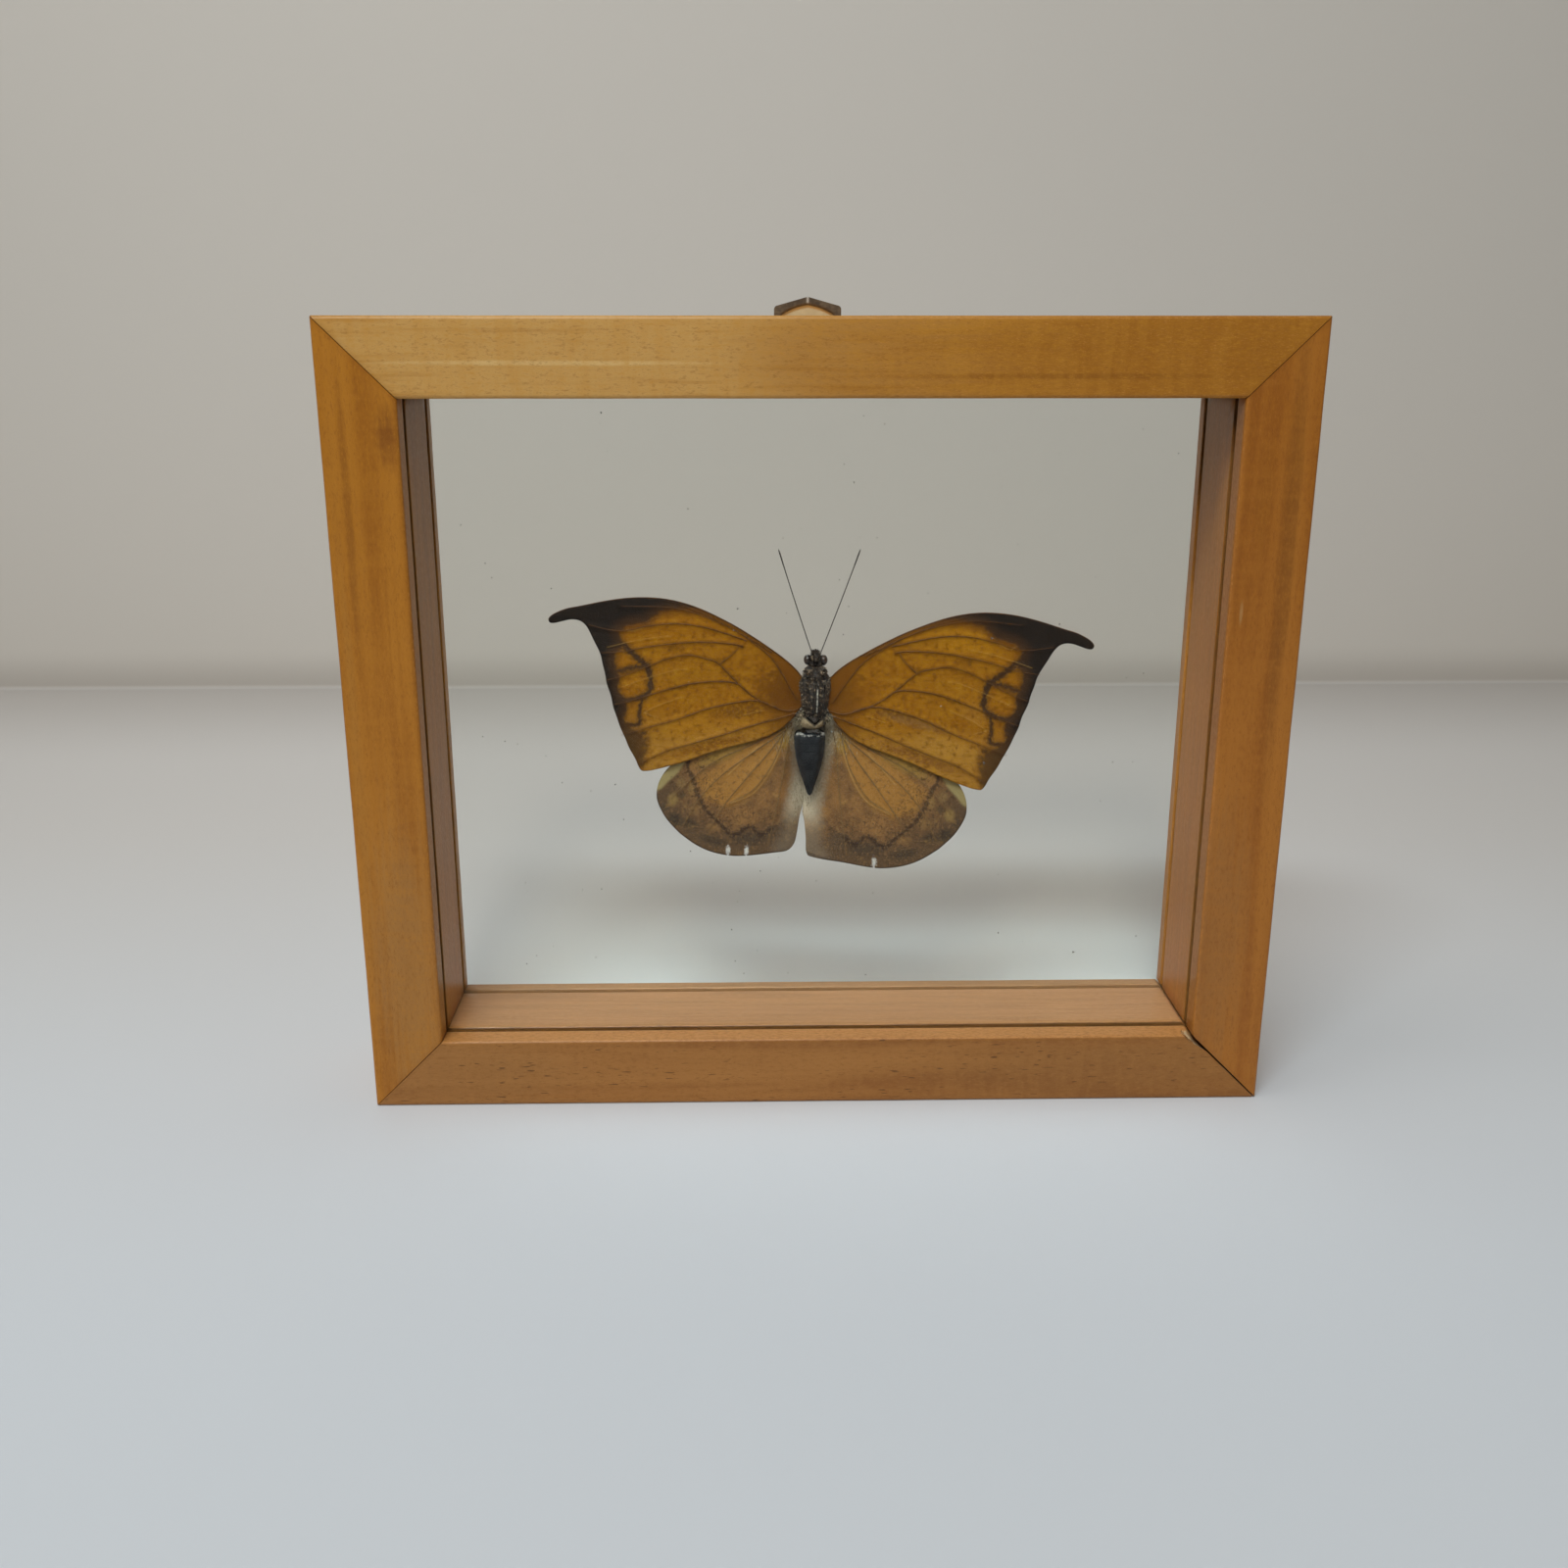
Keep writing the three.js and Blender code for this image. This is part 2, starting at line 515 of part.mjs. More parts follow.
// Two pairs of walking legs folded under the thorax, one of each pair mirrored
function makeLegs(bodySpace) {
  const legs = new THREE.Group();
  for (const [side, mirror] of [['right', 1], ['left', -1]]) {
    for (const [pair, path] of [['middle', MIDDLE_LEG], ['hind', HIND_LEG]]) {
      const points = path.map(([x, y, z]) => [mirror * x, y, z]);
      const leg = toSolid(rod(points, LEG_RADIUS, 5, 9)).subtract(bodySpace);
      legs.add(namedMesh(`leg_${pair}_${side}`, toGeometry(leg), antennaShell));
    }
  }
  return legs;
}

// The drop of clear glue that holds the thorax to the back pane
function dabSolid(bodySpace) {
  const points = [[0, 0], [DAB_RADIUS, 0], [DAB_NECK, 1], [DAB_NECK, 3], [0, 3]];
  const dab = new THREE.LatheGeometry(points.map(([radius, along]) => new THREE.Vector2(radius, along)), 14);
  return toSolid(dab).scale([1, -1, 1]).translate([0, BACK_PANE, -0.9]).subtract(bodySpace);
}

function makeSpecimen() {
  const specimen = new THREE.Group();
  specimen.position.set(SPECIMEN_X, SPECIMEN_Y, SPECIMEN_Z);
  specimen.rotation.y = SPECIMEN_LEAN;
  const bodySpace = thoraxSolid(BODY_CLEARANCE);
  const head = joined([headSolid(), proboscisSolid()]).subtract(bodySpace);
  const abdomen = abdomenSolid().subtract(bodySpace);
  specimen.add(
    namedMesh('head', toGeometry(head), bodyHair),
    namedMesh('thorax', toGeometry(thoraxSolid()), bodyHair),
    namedMesh('abdomen', toGeometry(abdomen), darkShell),
    namedMesh('glue_dab', toGeometry(dabSolid(bodySpace)), clearGlue),
    makeLegs(bodySpace),
  );
  for (const [name, antenna] of Object.entries(ANTENNAE)) {
    specimen.add(makeAntenna(name, antenna));
  }
  for (const [side, { fore, hind, innerMargin }] of Object.entries(WING_SETTINGS)) {
    const forewing = wingSolid(FOREWING, fore).subtract(bodySpace);
    const hindwing = wingSolid(hindwingWith(innerMargin), hind).subtract(bodySpace);
    specimen.add(
      namedMesh(`forewing_${side}`, toGeometry(forewing), forewingScales),
      namedMesh(`hindwing_${side}`, toGeometry(hindwing), hindwingScales),
    );
  }
  return specimen;
}

const framedButterfly = new THREE.Group();
framedButterfly.add(
  makeRails(),
  makePane('glass_front', FRONT_KERF),
  makePane('glass_back', BACK_KERF),
  makeHanger(),
  makeSpecimen(),
);

export default framedButterfly;
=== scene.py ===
# %% [markdown]
# # A butterfly between two panes in a wooden frame
# The real object is a small mitred frame of honey-brown wood that stands on its lower rail. Two panes
# of glass sit in its kerfs, and a spread butterfly with hooked fore wings is held between them.
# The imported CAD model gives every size. This file dresses it: it makes each piece again with the
# detail that the eye sees, puts it in the same place, and gives it a finish made of nodes.
# All lengths below are millimetres unless a line says otherwise.

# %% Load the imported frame
import math

import bmesh
import bpy
import numpy as np
from mathutils import Matrix, Vector
from mathutils.geometry import delaunay_2d_cdt


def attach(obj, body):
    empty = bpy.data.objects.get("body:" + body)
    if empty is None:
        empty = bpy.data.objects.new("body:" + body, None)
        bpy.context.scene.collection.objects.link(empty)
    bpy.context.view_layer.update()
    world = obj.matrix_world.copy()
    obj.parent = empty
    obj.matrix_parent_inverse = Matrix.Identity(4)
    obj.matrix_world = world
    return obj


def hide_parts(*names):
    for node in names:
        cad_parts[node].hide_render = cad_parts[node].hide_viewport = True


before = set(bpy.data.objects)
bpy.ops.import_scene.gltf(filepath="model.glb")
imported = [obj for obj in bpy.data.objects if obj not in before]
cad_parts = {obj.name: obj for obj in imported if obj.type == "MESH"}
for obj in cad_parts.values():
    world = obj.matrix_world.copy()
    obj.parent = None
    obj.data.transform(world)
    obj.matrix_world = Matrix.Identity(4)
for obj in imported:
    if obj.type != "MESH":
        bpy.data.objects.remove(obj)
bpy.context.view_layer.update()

MM = 0.001

# %% [markdown]
# ## Camera
# The photograph was taken by hand from a little above and in front of the frame. A pinhole camera was
# fitted to the frame's corners, so the numbers here are where that camera stood and how it was turned.

# %% Camera
CAMERA_PLACE = (-10.4, -240.6, 124.2)
CAMERA_PITCH = 0.2883
CAMERA_YAW = 0.0198
LENS = 34.18
SENSOR = 36


def make_camera():
    eye = bpy.data.cameras.new("camera")
    eye.lens = LENS
    eye.sensor_width = SENSOR
    eye.clip_start = 0.01
    eye.clip_end = 20
    holder = bpy.data.objects.new("camera", eye)
    bpy.context.scene.collection.objects.link(holder)
    across = Vector((math.cos(CAMERA_YAW), -math.sin(CAMERA_YAW), 0))
    ahead = Vector((math.sin(CAMERA_YAW) * math.cos(CAMERA_PITCH),
                    math.cos(CAMERA_YAW) * math.cos(CAMERA_PITCH), -math.sin(CAMERA_PITCH)))
    upwards = across.cross(ahead)
    turn = Matrix((across, upwards, -ahead)).transposed().to_4x4()
    holder.matrix_world = Matrix.Translation(Vector(CAMERA_PLACE) * MM) @ turn
    bpy.context.scene.camera = holder


make_camera()
bpy.context.scene.view_settings.view_transform = "Standard"

# %% [markdown]
# ## Helpers for meshes
# Most pieces here are made from points that a few lines of arithmetic give. Points are written in
# millimetres and turned into metres once, when the mesh is made, so that the sizes read like the
# drawing of the real thing.

# %% Mesh helpers


def make_mesh(name, points, faces, smooth=True):
    mesh = bpy.data.meshes.new(name)
    mesh.from_pydata((np.asarray(points, float) * MM).tolist(), [], [list(f) for f in faces])
    mesh.update()
    if smooth:
        mesh.shade_smooth()
    made = bpy.data.objects.new(name, mesh)
    bpy.context.scene.collection.objects.link(made)
    return made


def ring_faces(rows, around):
    """Quads between rings of points that follow one another."""
    faces = []
    for row in range(rows - 1):
        low, high = row * around, (row + 1) * around
        for i in range(around):
            j = (i + 1) % around
            faces.append((low + i, high + i, high + j, low + j))
    return faces


def clamp_step(value, low, high):
    """A smooth step from 0 at low to 1 at high."""
    t = np.clip((value - low) / (high - low), 0, 1)
    return t * t * (3 - 2 * t)


def face_outwards(made):
    shell = bmesh.new()
    shell.from_mesh(made.data)
    bmesh.ops.recalc_face_normals(shell, faces=shell.faces)
    shell.to_mesh(made.data)
    shell.free()


def store(made, name, values):
    field = made.data.attributes.new(name, "FLOAT", "POINT")
    field.data.foreach_set("value", np.asarray(values, np.float32))


def move_points(made, points):
    made.data.vertices.foreach_set("co", (points * MM).astype(np.float32).ravel())
    made.data.update()


def evaluated(made, name):
    """The mesh that an object's modifiers give, as a plain mesh object in its place."""
    scene_graph = bpy.context.evaluated_depsgraph_get()
    mesh = bpy.data.meshes.new_from_object(made.evaluated_get(scene_graph))
    old = made.data
    bpy.data.objects.remove(made)
    bpy.data.meshes.remove(old)
    mesh.name = name
    result = bpy.data.objects.new(name, mesh)
    bpy.context.scene.collection.objects.link(result)
    return result


def hand_in(made, slot, *nodes):
    """Tells the frame which CAD nodes a finished piece stands for, by hiding them. The slot, which would say
    how the piece is fixed, is not used.
    """
    if nodes:
        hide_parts(*nodes)
    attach(made, "root")
    open_edges = bmesh.new()
    open_edges.from_mesh(made.data)
    loose = sum(1 for e in open_edges.edges if len(e.link_faces) != 2)
    triangles = sum(len(f.verts) - 2 for f in open_edges.faces)
    open_edges.free()
    print(f"{made.name}: {triangles} triangles, {loose} open edges")


# %% [markdown]
# ## Helpers for finishes
# A finish is a Principled shader fed by procedural nodes. These few functions add one node each and
# give back its output, so a finish reads like a list of what is laid over what.

# %% Finish helpers


def add(tree, kind, inputs=None, **settings):
    made = tree.nodes.new(kind)
    for name, value in settings.items():
        setattr(made, name, value)
    for key, value in (inputs or {}).items():
        if isinstance(value, bpy.types.NodeSocket):
            tree.links.new(value, made.inputs[key])
        else:
            made.inputs[key].default_value = value
    return made


def calc(tree, operation, *values):
    return add(tree, "ShaderNodeMath", dict(enumerate(values)), operation=operation).outputs[0]


def ease(tree, value, low, high, to_low=0.0, to_high=1.0):
    keys = {"Value": value, "From Min": low, "From Max": high, "To Min": to_low, "To Max": to_high}
    return add(tree, "ShaderNodeMapRange", keys, interpolation_type="SMOOTHSTEP").outputs[0]


def lay_over(tree, share, below, above, blend="MIX"):
    made = add(tree, "ShaderNodeMix", data_type="RGBA", blend_type=blend)
    for index, value in ((0, share), (6, below), (7, above)):
        if isinstance(value, bpy.types.NodeSocket):
            tree.links.new(value, made.inputs[index])
        elif index == 0:
            made.inputs[index].default_value = value
        else:
            made.inputs[index].default_value = (*value, 1)
    return made.outputs[2]


def noise(tree, where, scale, detail=3.0, roughness=0.55, distortion=0.0):
    keys = {"Vector": where, "Scale": scale, "Detail": detail, "Roughness": roughness,
            "Distortion": distortion}
    return add(tree, "ShaderNodeTexNoise", keys).outputs["Fac"]


def stretched(tree, where, scale, turn=(0, 0, 0), shift=(0, 0, 0)):
    keys = {"Vector": where, "Scale": scale, "Rotation": turn, "Location": shift}
    return add(tree, "ShaderNodeMapping", keys).outputs[0]


def layers(tree, colour, laid):
    """Lays colours over one another. Each is (value, from, to, share, colour), and where the value is
    from there is none of the colour, and where it is to there is the share of it."""
    for value, low, high, share, shade in laid:
        colour = lay_over(tree, ease(tree, value, low, high, 0, share), colour, shade)
    return colour


def swing(tree, value, reach):
    """Turns a noise about 0.5 into one about nought."""
    return calc(tree, "MULTIPLY", calc(tree, "SUBTRACT", value, 0.5), reach)


def tint(base, factor, added=0.0):
    """A colour times a factor plus a little more, each one number or three."""
    return np.minimum(1, np.multiply(base, factor) + added).tolist()


def place_on_piece(tree):
    return add(tree, "ShaderNodeTexCoord").outputs["Object"]


def field(tree, name):
    return add(tree, "ShaderNodeAttribute", attribute_name=name).outputs["Fac"]


def raised(tree, height, distance, strength=1.0):
    keys = {"Height": height, "Distance": distance, "Strength": strength}
    return add(tree, "ShaderNodeBump", keys).outputs[0]


def new_finish(name, plain):
    finish = bpy.data.materials.new(name)
    finish.use_nodes = True
    shader = finish.node_tree.nodes["Principled BSDF"]
    for socket, value in plain.items():
        shader.inputs[socket].default_value = value
    return finish, finish.node_tree, shader


# %% [markdown]
# ## Floor and wall
# The frame stands on a pale table in front of a pale wall. One sheet that turns up at the back does
# for both, so there is no gap for light to leak through. Its colour carries painted light, as in the
# photograph: the table is painted cool in front, where the cool lamp's pool of light falls, and warmer
# and darker towards the wall, and a painted shade darkens it softly where the table meets the wall.

# %% Floor and backdrop
FLOOR_END = 308
SWEEP_RADIUS = 1.5
SWEEP_STEPS = 12
FLOOR_START = -1500
WALL_TOP = 1500
STAGE_HALF = 2200


def stage_finish():
    finish, tree, shader = new_finish("pale_stage", {"Roughness": 0.8})
    where = place_on_piece(tree)
    parts = add(tree, "ShaderNodeSeparateXYZ", {0: where}).outputs
    depth, height = parts[1], parts[2]
    soft = noise(tree, where, 3.0, 2.0)
    rising = ease(tree, height, 0.0, 0.0015)
    # Painted light: cool in front where the cool lamp's pool falls, warmer and darker towards the wall.
    table = lay_over(tree, ease(tree, depth, -0.09, 0.16), (0.77, 0.81, 0.865), (0.74, 0.72, 0.705))
    table = layers(tree, table, [(depth, 0.2, FLOOR_END * MM, 0.55, (0.46, 0.425, 0.39))])
    colour = lay_over(tree, rising, table, (0.75, 0.71, 0.655))
    colour = layers(tree, colour, [(soft, 0.3, 0.8, 0.08, (0.6, 0.58, 0.56))])
    # Painted shade along the foot of the wall, where the table meets it.
    joint = calc(tree, "MULTIPLY", rising, ease(tree, height, 0.016, 0.0, 0, 0.5))
    colour = lay_over(tree, joint, colour, (0.42, 0.38, 0.34))
    tree.links.new(colour, shader.inputs["Base Color"])
    return finish


def make_stage():
    profile = [(FLOOR_START, 0), (FLOOR_END - SWEEP_RADIUS, 0)]
    for step in range(1, SWEEP_STEPS + 1):
        angle = math.pi / 2 * step / SWEEP_STEPS
        profile.append((FLOOR_END - SWEEP_RADIUS + SWEEP_RADIUS * math.sin(angle),
                        SWEEP_RADIUS * (1 - math.cos(angle))))
    profile.append((FLOOR_END, WALL_TOP))
    points = [(side * STAGE_HALF, y, z) for y, z in profile for side in (-1, 1)]
    faces = [(2 * i, 2 * i + 1, 2 * i + 3, 2 * i + 2) for i in range(len(profile) - 1)]
    floor = make_mesh("floor", points, faces)
    floor.data.materials.append(stage_finish())


make_stage()

# %% [markdown]
# ## Light
# The shadow that the upper rail throws behind the frame is crisp along its edge and soft at its ends,
# so the main light is a wide, narrow strip above and in front, a little to the left. A small warm lamp
# near it throws the second, fainter shadow. A third washes the wall, and a plain warm sky fills in.

# %% Light


def make_lamp(name, place, target, size, power, colour, depth=None, spread=180):
    """A soft round lamp, or a strip when it has a depth. A small spread keeps the light near its target."""
    lamp = bpy.data.lights.new(name, "AREA")
    lamp.shape = "DISK" if depth is None else "RECTANGLE"
    lamp.size = size
    if depth is not None:
        lamp.size_y = depth
    lamp.energy = power
    lamp.spread = math.radians(spread)
    lamp.color = colour
    holder = bpy.data.objects.new(name, lamp)
    bpy.context.scene.collection.objects.link(holder)
    away = (Vector(place) - Vector(target)) * MM
    turn = away.to_track_quat("Z", "Y").to_matrix().to_4x4()
    holder.matrix_world = Matrix.Translation(Vector(place) * MM) @ turn


make_lamp("cool_strip", (-160, -468, 780), (0, 0, 50), 0.34, 1.5, (0.8, 0.93, 1.0), 0.1, 125)
make_lamp("warm_front", (-90, -750, 700), (0, 0, 60), 0.16, 0.42, (1, 0.88, 0.74), spread=100)
make_lamp("wall_wash", (-260, -100, 900), (-140, 308, 300), 0.4, 0.62, (1, 0.96, 0.92), spread=110)

sky = bpy.data.worlds.new("soft_room")
sky.use_nodes = True
sky.node_tree.nodes["Background"].inputs["Color"].default_value = (1.0, 0.9, 0.78, 1)
sky.node_tree.nodes["Background"].inputs["Strength"].default_value = 0.165
bpy.context.scene.world = sky

# %% [markdown]
# ## Wood
# The rails are a pale close-grained wood under a honey-brown satin varnish. On such wood the eye sees
# soft long bands, a fine speckle of pores and a silky ripple across the grain. Each rail was cut from
# another place, so each has its own base colour, its own soft patches and its own run of short dark
# dashes. Some patches are painted light instead: painted sheen and painted shade on the upper rail and
# painted shade along the outer edge of the right rail. The finish also paints light on the lip that
# faces into the opening, a pale line on the front arrises that is partly wear and partly a painted
# highlight, and painted shade in the kerfs and along the mitres. All of it reads Object coordinates,
# turned so that the grain follows the rail.

# %% Wood finish
FRAME_WIDTH = 150
FRAME_HEIGHT = 128
FRAME_DEPTH = 25.4
RAIL_FACE = 11.8
ARRIS_RADIUS = 0.6
MITRE_GAP = 0.03
OPEN_MITRE_GAP = 0.4
FRONT_FACE = -FRAME_DEPTH / 2
BACK_FACE = FRAME_DEPTH / 2
KERF_WIDTH = 2.2
KERF_DEPTH = 3
GLASS_THICKNESS = 2
CAVITY = 14.4
FRONT_KERF = FRONT_FACE + 4
BACK_KERF = FRONT_KERF + GLASS_THICKNESS + CAVITY


def soft_patch(tree, here, colour, centre, reach, shade, share, turn=0.0, ragged=None):
    """Lays one soft oval patch over a colour. Its centre and reach are millimetres."""
    keys = {"Vector": here, "Location": (*centre, 0), "Scale": (*reach, 1),
            "Rotation": (0, 0, math.radians(turn))}
    placed = add(tree, "ShaderNodeMapping", keys, vector_type="TEXTURE").outputs[0]
    away = add(tree, "ShaderNodeVectorMath", {0: placed}, operation="LENGTH").outputs["Value"]
    if ragged is not None:
        away = calc(tree, "ADD", away, calc(tree, "SUBTRACT", ragged, 0.5))
    return lay_over(tree, ease(tree, away, 1.15, 0.3, 0, share), colour, shade)


def edge_distances(tree, x, z):
    """Distances in millimetres from the frame's nearer side and from its nearer end."""
    from_side = calc(tree, "SUBTRACT", FRAME_WIDTH / 2, calc(tree, "ABSOLUTE", x))
    from_end = calc(tree, "MINIMUM", z, calc(tree, "SUBTRACT", FRAME_HEIGHT, z))
    return from_side, from_end


def mitre_distance(tree, x, z):
    """Distance in millimetres from the nearest of the four mitre planes."""
    return calc(tree, "ABSOLUTE", calc(tree, "SUBTRACT", *edge_distances(tree, x, z)))


def inside_opening(tree, x, y, z):
    """1 on the faces that look into the opening and in the kerfs, 0 on the outer and back faces."""
    from_outline = calc(tree, "MINIMUM", *edge_distances(tree, x, z))
    inward = ease(tree, from_outline, RAIL_FACE - 4.2, RAIL_FACE - 3.2)
    return calc(tree, "MULTIPLY", inward, ease(tree, y, BACK_FACE - 0.1, BACK_FACE - 0.6))


def near_kerf(tree, y):
    from_front = calc(tree, "ABSOLUTE", calc(tree, "SUBTRACT", y, FRONT_KERF + KERF_WIDTH))
    from_lip = calc(tree, "ABSOLUTE", calc(tree, "SUBTRACT", y, FRONT_KERF - 0.05))
    from_back = calc(tree, "ABSOLUTE", calc(tree, "SUBTRACT", y, BACK_KERF))
    return calc(tree, "MINIMUM", calc(tree, "MINIMUM", from_front, from_lip), from_back)


def wood_finish(name, upright, shift, base, inside, patches, dashes, satin):
    finish, tree, shader = new_finish(name, {
        "Roughness": 0.42, "Specular IOR Level": 0.3, "Coat Weight": 0.1, "Coat Roughness": 0.3})
    millimetres = stretched(tree, place_on_piece(tree), (1000, 1000, 1000))
    x, y, z = add(tree, "ShaderNodeSeparateXYZ", {0: millimetres}).outputs
    flat = add(tree, "ShaderNodeCombineXYZ", {0: x, 1: z}).outputs[0]
    along = stretched(tree, millimetres, (1, 1, 1), (0, math.pi / 2, 0) if upright else (0, 0, 0), shift)
    bands = noise(tree, stretched(tree, along, (0.012, 0.16, 0.2)), 1.0, 3.0, 0.5, 0.4)
    streaks = noise(tree, stretched(tree, along, (0.05, 0.8, 1.1)), 1.0, 3.0, 0.6)
    pores = noise(tree, stretched(tree, along, (1.0, 2.4, 2.8)), 1.0, 3.0, 0.75)
    silk = noise(tree, stretched(tree, along, (0.55, 0.12, 0.12)), 1.0, 2.0, 0.5, 0.6)
    fibre = noise(tree, stretched(tree, along, (1.6, 9, 11)), 1.0, 2.0, 0.7)
    dark = tint(base, (0.7, 0.62, 0.5))
    light = tint(base, (1.25, 1.36, 1.5), (0.03, 0.02, 0.008))
    colour = lay_over(tree, ease(tree, bands, 0.3, 0.7, 0.1, 0.9), light, base)
    colour = layers(tree, colour, [(bands, 0.5, 0.8, 0.5, dark)])
    for centre, reach, shade, share in patches:
        colour = soft_patch(tree, flat, colour, centre, reach, shade, share, 0, streaks)
    colour = layers(tree, colour, [
        (streaks, 0.48, 0.78, 0.22, dark), (silk, 0.42, 0.68, 0.22, light), (pores, 0.5, 0.72, 0.45, light),
        (pores, 0.48, 0.3, 0.4, dark), (fibre, 0.56, 0.74, satin, tint(base, 1.5, 0.06))])
    dash = noise(tree, stretched(tree, along, (0.42, 2.6, 2.9)), 1.0, 1.0, 0.4)
    run = noise(tree, stretched(tree, along, (0.03, 0.2, 0.5)), 1.0, 2.0)
    mark = calc(tree, "MULTIPLY", ease(tree, dash, 0.65, 0.72), ease(tree, run, 0.4, 0.55, 0, dashes))
    colour = lay_over(tree, mark, colour, tint(base, 0.36))
    inner_face = inside_opening(tree, x, y, z)
    behind = ease(tree, y, FRONT_KERF + KERF_WIDTH - 0.5, FRONT_KERF + KERF_WIDTH + 1.5, 0, 0.85)
    pinkish = lay_over(tree, ease(tree, streaks, 0.35, 0.7), inside, tint(inside, 0.8))
    pinkish = layers(tree, pinkish, [(pores, 0.45, 0.7, 0.4, tint(inside, 1.25))])
    colour = lay_over(tree, calc(tree, "MULTIPLY", behind, inner_face), colour, pinkish)
    # Painted light: the lip in front of the pane is painted paler, by a share set for each rail, most on the
    # lower rail, whose lip faces up.
    lip_painted_light = calc(tree, "MULTIPLY", ease(tree, pores, 0.36, 0.6, 0.35, 0.8), field(tree, "lip"))
    colour = lay_over(tree, lip_painted_light, colour, tint(base, 1.3, (0.16, 0.1, 0.045)))
    # The pale line along the front arrises is partly wear and partly a painted highlight.
    arris_wear_and_highlight = calc(tree, "MULTIPLY", field(tree, "arris"), ease(tree, fibre, 0.52, 0.7, 0.0, 0.6))
    colour = lay_over(tree, arris_wear_and_highlight, colour, tint(base, 1.4, (0.2, 0.14, 0.08)))
    # Painted shade darkens the wood where it runs into the kerfs.
    from_kerf = calc(tree, "ADD", near_kerf(tree, y), swing(tree, streaks, 0.2))
    groove = calc(tree, "MULTIPLY", ease(tree, from_kerf, 0.16, 0.03, 0, 0.7), inner_face)
    colour = lay_over(tree, groove, colour, (0.1, 0.045, 0.015))
    # A dark line along each mitre is painted shade in the joint, fading out near the bottom of the lower
    # mitres.
    from_mitre = mitre_distance(tree, x, z)
    kept = ease(tree, z, 1.0, 6.0, 0.1, 1.0)
    for low, high, share, shade in ((1.3, 0.1, 0.2, dark), (0.18, 0.04, 0.6, tint(base, 0.3))):
        line = calc(tree, "MULTIPLY", kept, ease(tree, from_mitre, low, high, 0, share))
        colour = lay_over(tree, line, colour, shade)
    colour = lay_over(tree, field(tree, "raw"), colour, (0.6, 0.42, 0.23))
    tree.links.new(colour, shader.inputs["Base Color"])
    tree.links.new(ease(tree, pores, 0.3, 0.75, 0.5, 0.33), shader.inputs["Roughness"])
    relief = calc(tree, "ADD", calc(tree, "MULTIPLY", fibre, 0.35), calc(tree, "MULTIPLY", pores, 0.65))
    tree.links.new(raised(tree, relief, 0.00007, 0.55), shader.inputs["Normal"])
    return finish

# %% [markdown]
# ## Rails
# Each rail is one moulding cut at 45 degrees at both ends, with rounded arrises and two kerfs for the
# panes. A section is swept along the rail by hand, station by station, so that the ends can lie on
# the mitre planes. The sweep ends in a tiny bevel, and that groove draws the mitre's dark line, which
# the wood finish darkens further with painted shade. The lower rail's right mitre stands open and a
# splinter has broken out of its inner corner.

# %% Rail section
MITRE_BEVEL = 0.07


def arc(centre, radius, start, end, steps):
    angles = np.radians(np.linspace(start, end, steps + 1))
    return [(centre[0] + radius * math.cos(a), centre[1] + radius * math.sin(a)) for a in angles]


def between(start, end, count):
    return [tuple(np.array(start) + (np.array(end) - start) * i / (count + 1)) for i in range(1, count + 1)]


def rail_section():
    """Outline of a rail as (depth through the frame, height over its outer face)."""
    r, top = ARRIS_RADIUS, RAIL_FACE
    lip = 0.12
    line = arc((FRONT_FACE + r, r), r, 180, 270, 6)
    line += between((FRONT_FACE + r, 0), (BACK_FACE - r, 0), 9)
    line += arc((BACK_FACE - r, r), r, 270, 360, 6)
    line += between((BACK_FACE, r), (BACK_FACE, top - r), 5)
    line += arc((BACK_FACE - r, top - r), r, 0, 90, 6)
    for kerf in (BACK_KERF, FRONT_KERF):
        line += [(kerf + KERF_WIDTH + lip, top), (kerf + KERF_WIDTH, top - lip),
                 (kerf + KERF_WIDTH, top - KERF_DEPTH), (kerf, top - KERF_DEPTH),
                 (kerf, top - lip), (kerf - lip, top)]
        if kerf == BACK_KERF:
            line += between((kerf - lip, top), (FRONT_KERF + KERF_WIDTH + lip, top), 6)
    line += between((FRONT_KERF - lip, top), (FRONT_FACE + r, top), 5)
    line += arc((FRONT_FACE + r, top - r), r, 90, 180, 6)
    line += between((FRONT_FACE, top - r), (FRONT_FACE, top - 3.6), 9)
    line += between((FRONT_FACE, top - 3.6), (FRONT_FACE, r), 4)
    return np.array(line)


section = rail_section()
print("rail section:", len(section), "points")


def section_inset(outline, distance):
    """The section pulled in by a small distance, which makes the bevel at a mitre."""
    ahead = np.roll(outline, -1, 0) - outline
    behind = outline - np.roll(outline, 1, 0)
    normal = np.stack([-(ahead + behind)[:, 1], (ahead + behind)[:, 0]], 1)
    normal /= np.linalg.norm(normal, axis=1)[:, None]
    return outline + normal * distance


def arris_wear_and_highlight_line(outline):
    """One in the middle of a rounded corner of the front face, else nought. The finish lays a pale line there
    that is partly wear and partly a painted highlight.
    """
    y, h = outline.T
    turn = ARRIS_RADIUS * 0.3
    inner = np.exp(-(np.hypot(y - FRONT_FACE - turn, h - RAIL_FACE + turn) / 0.16) ** 2)
    outer = np.exp(-(np.hypot(y - FRONT_FACE - turn, h - turn) / 0.16) ** 2)
    return inner + outer


def lip_face(outline):
    """One on the narrow lip in front of the pane."""
    y, h = outline.T
    return ((h > RAIL_FACE - 0.25) & (y < FRONT_KERF + 0.1)).astype(float)

# %% Sweep a rail


def unevenness(along, around, seed):
    """Slow hand-sanded waviness of a moulding, in millimetres."""
    return 0.035 * (np.sin(along * 0.11 + seed) * np.cos(around * 0.9 + 2 * seed)
                    + 0.5 * np.sin(along * 0.37 + 1.7 * around + seed))


def stations(open_end):
    """Where along a rail the section is repeated, closer together at an open end."""
    share = np.linspace(0, 1, 84)
    if open_end:
        share = np.sort(np.r_[share[:-1], np.linspace(0.955, 1, 34)[1:]])
    return share


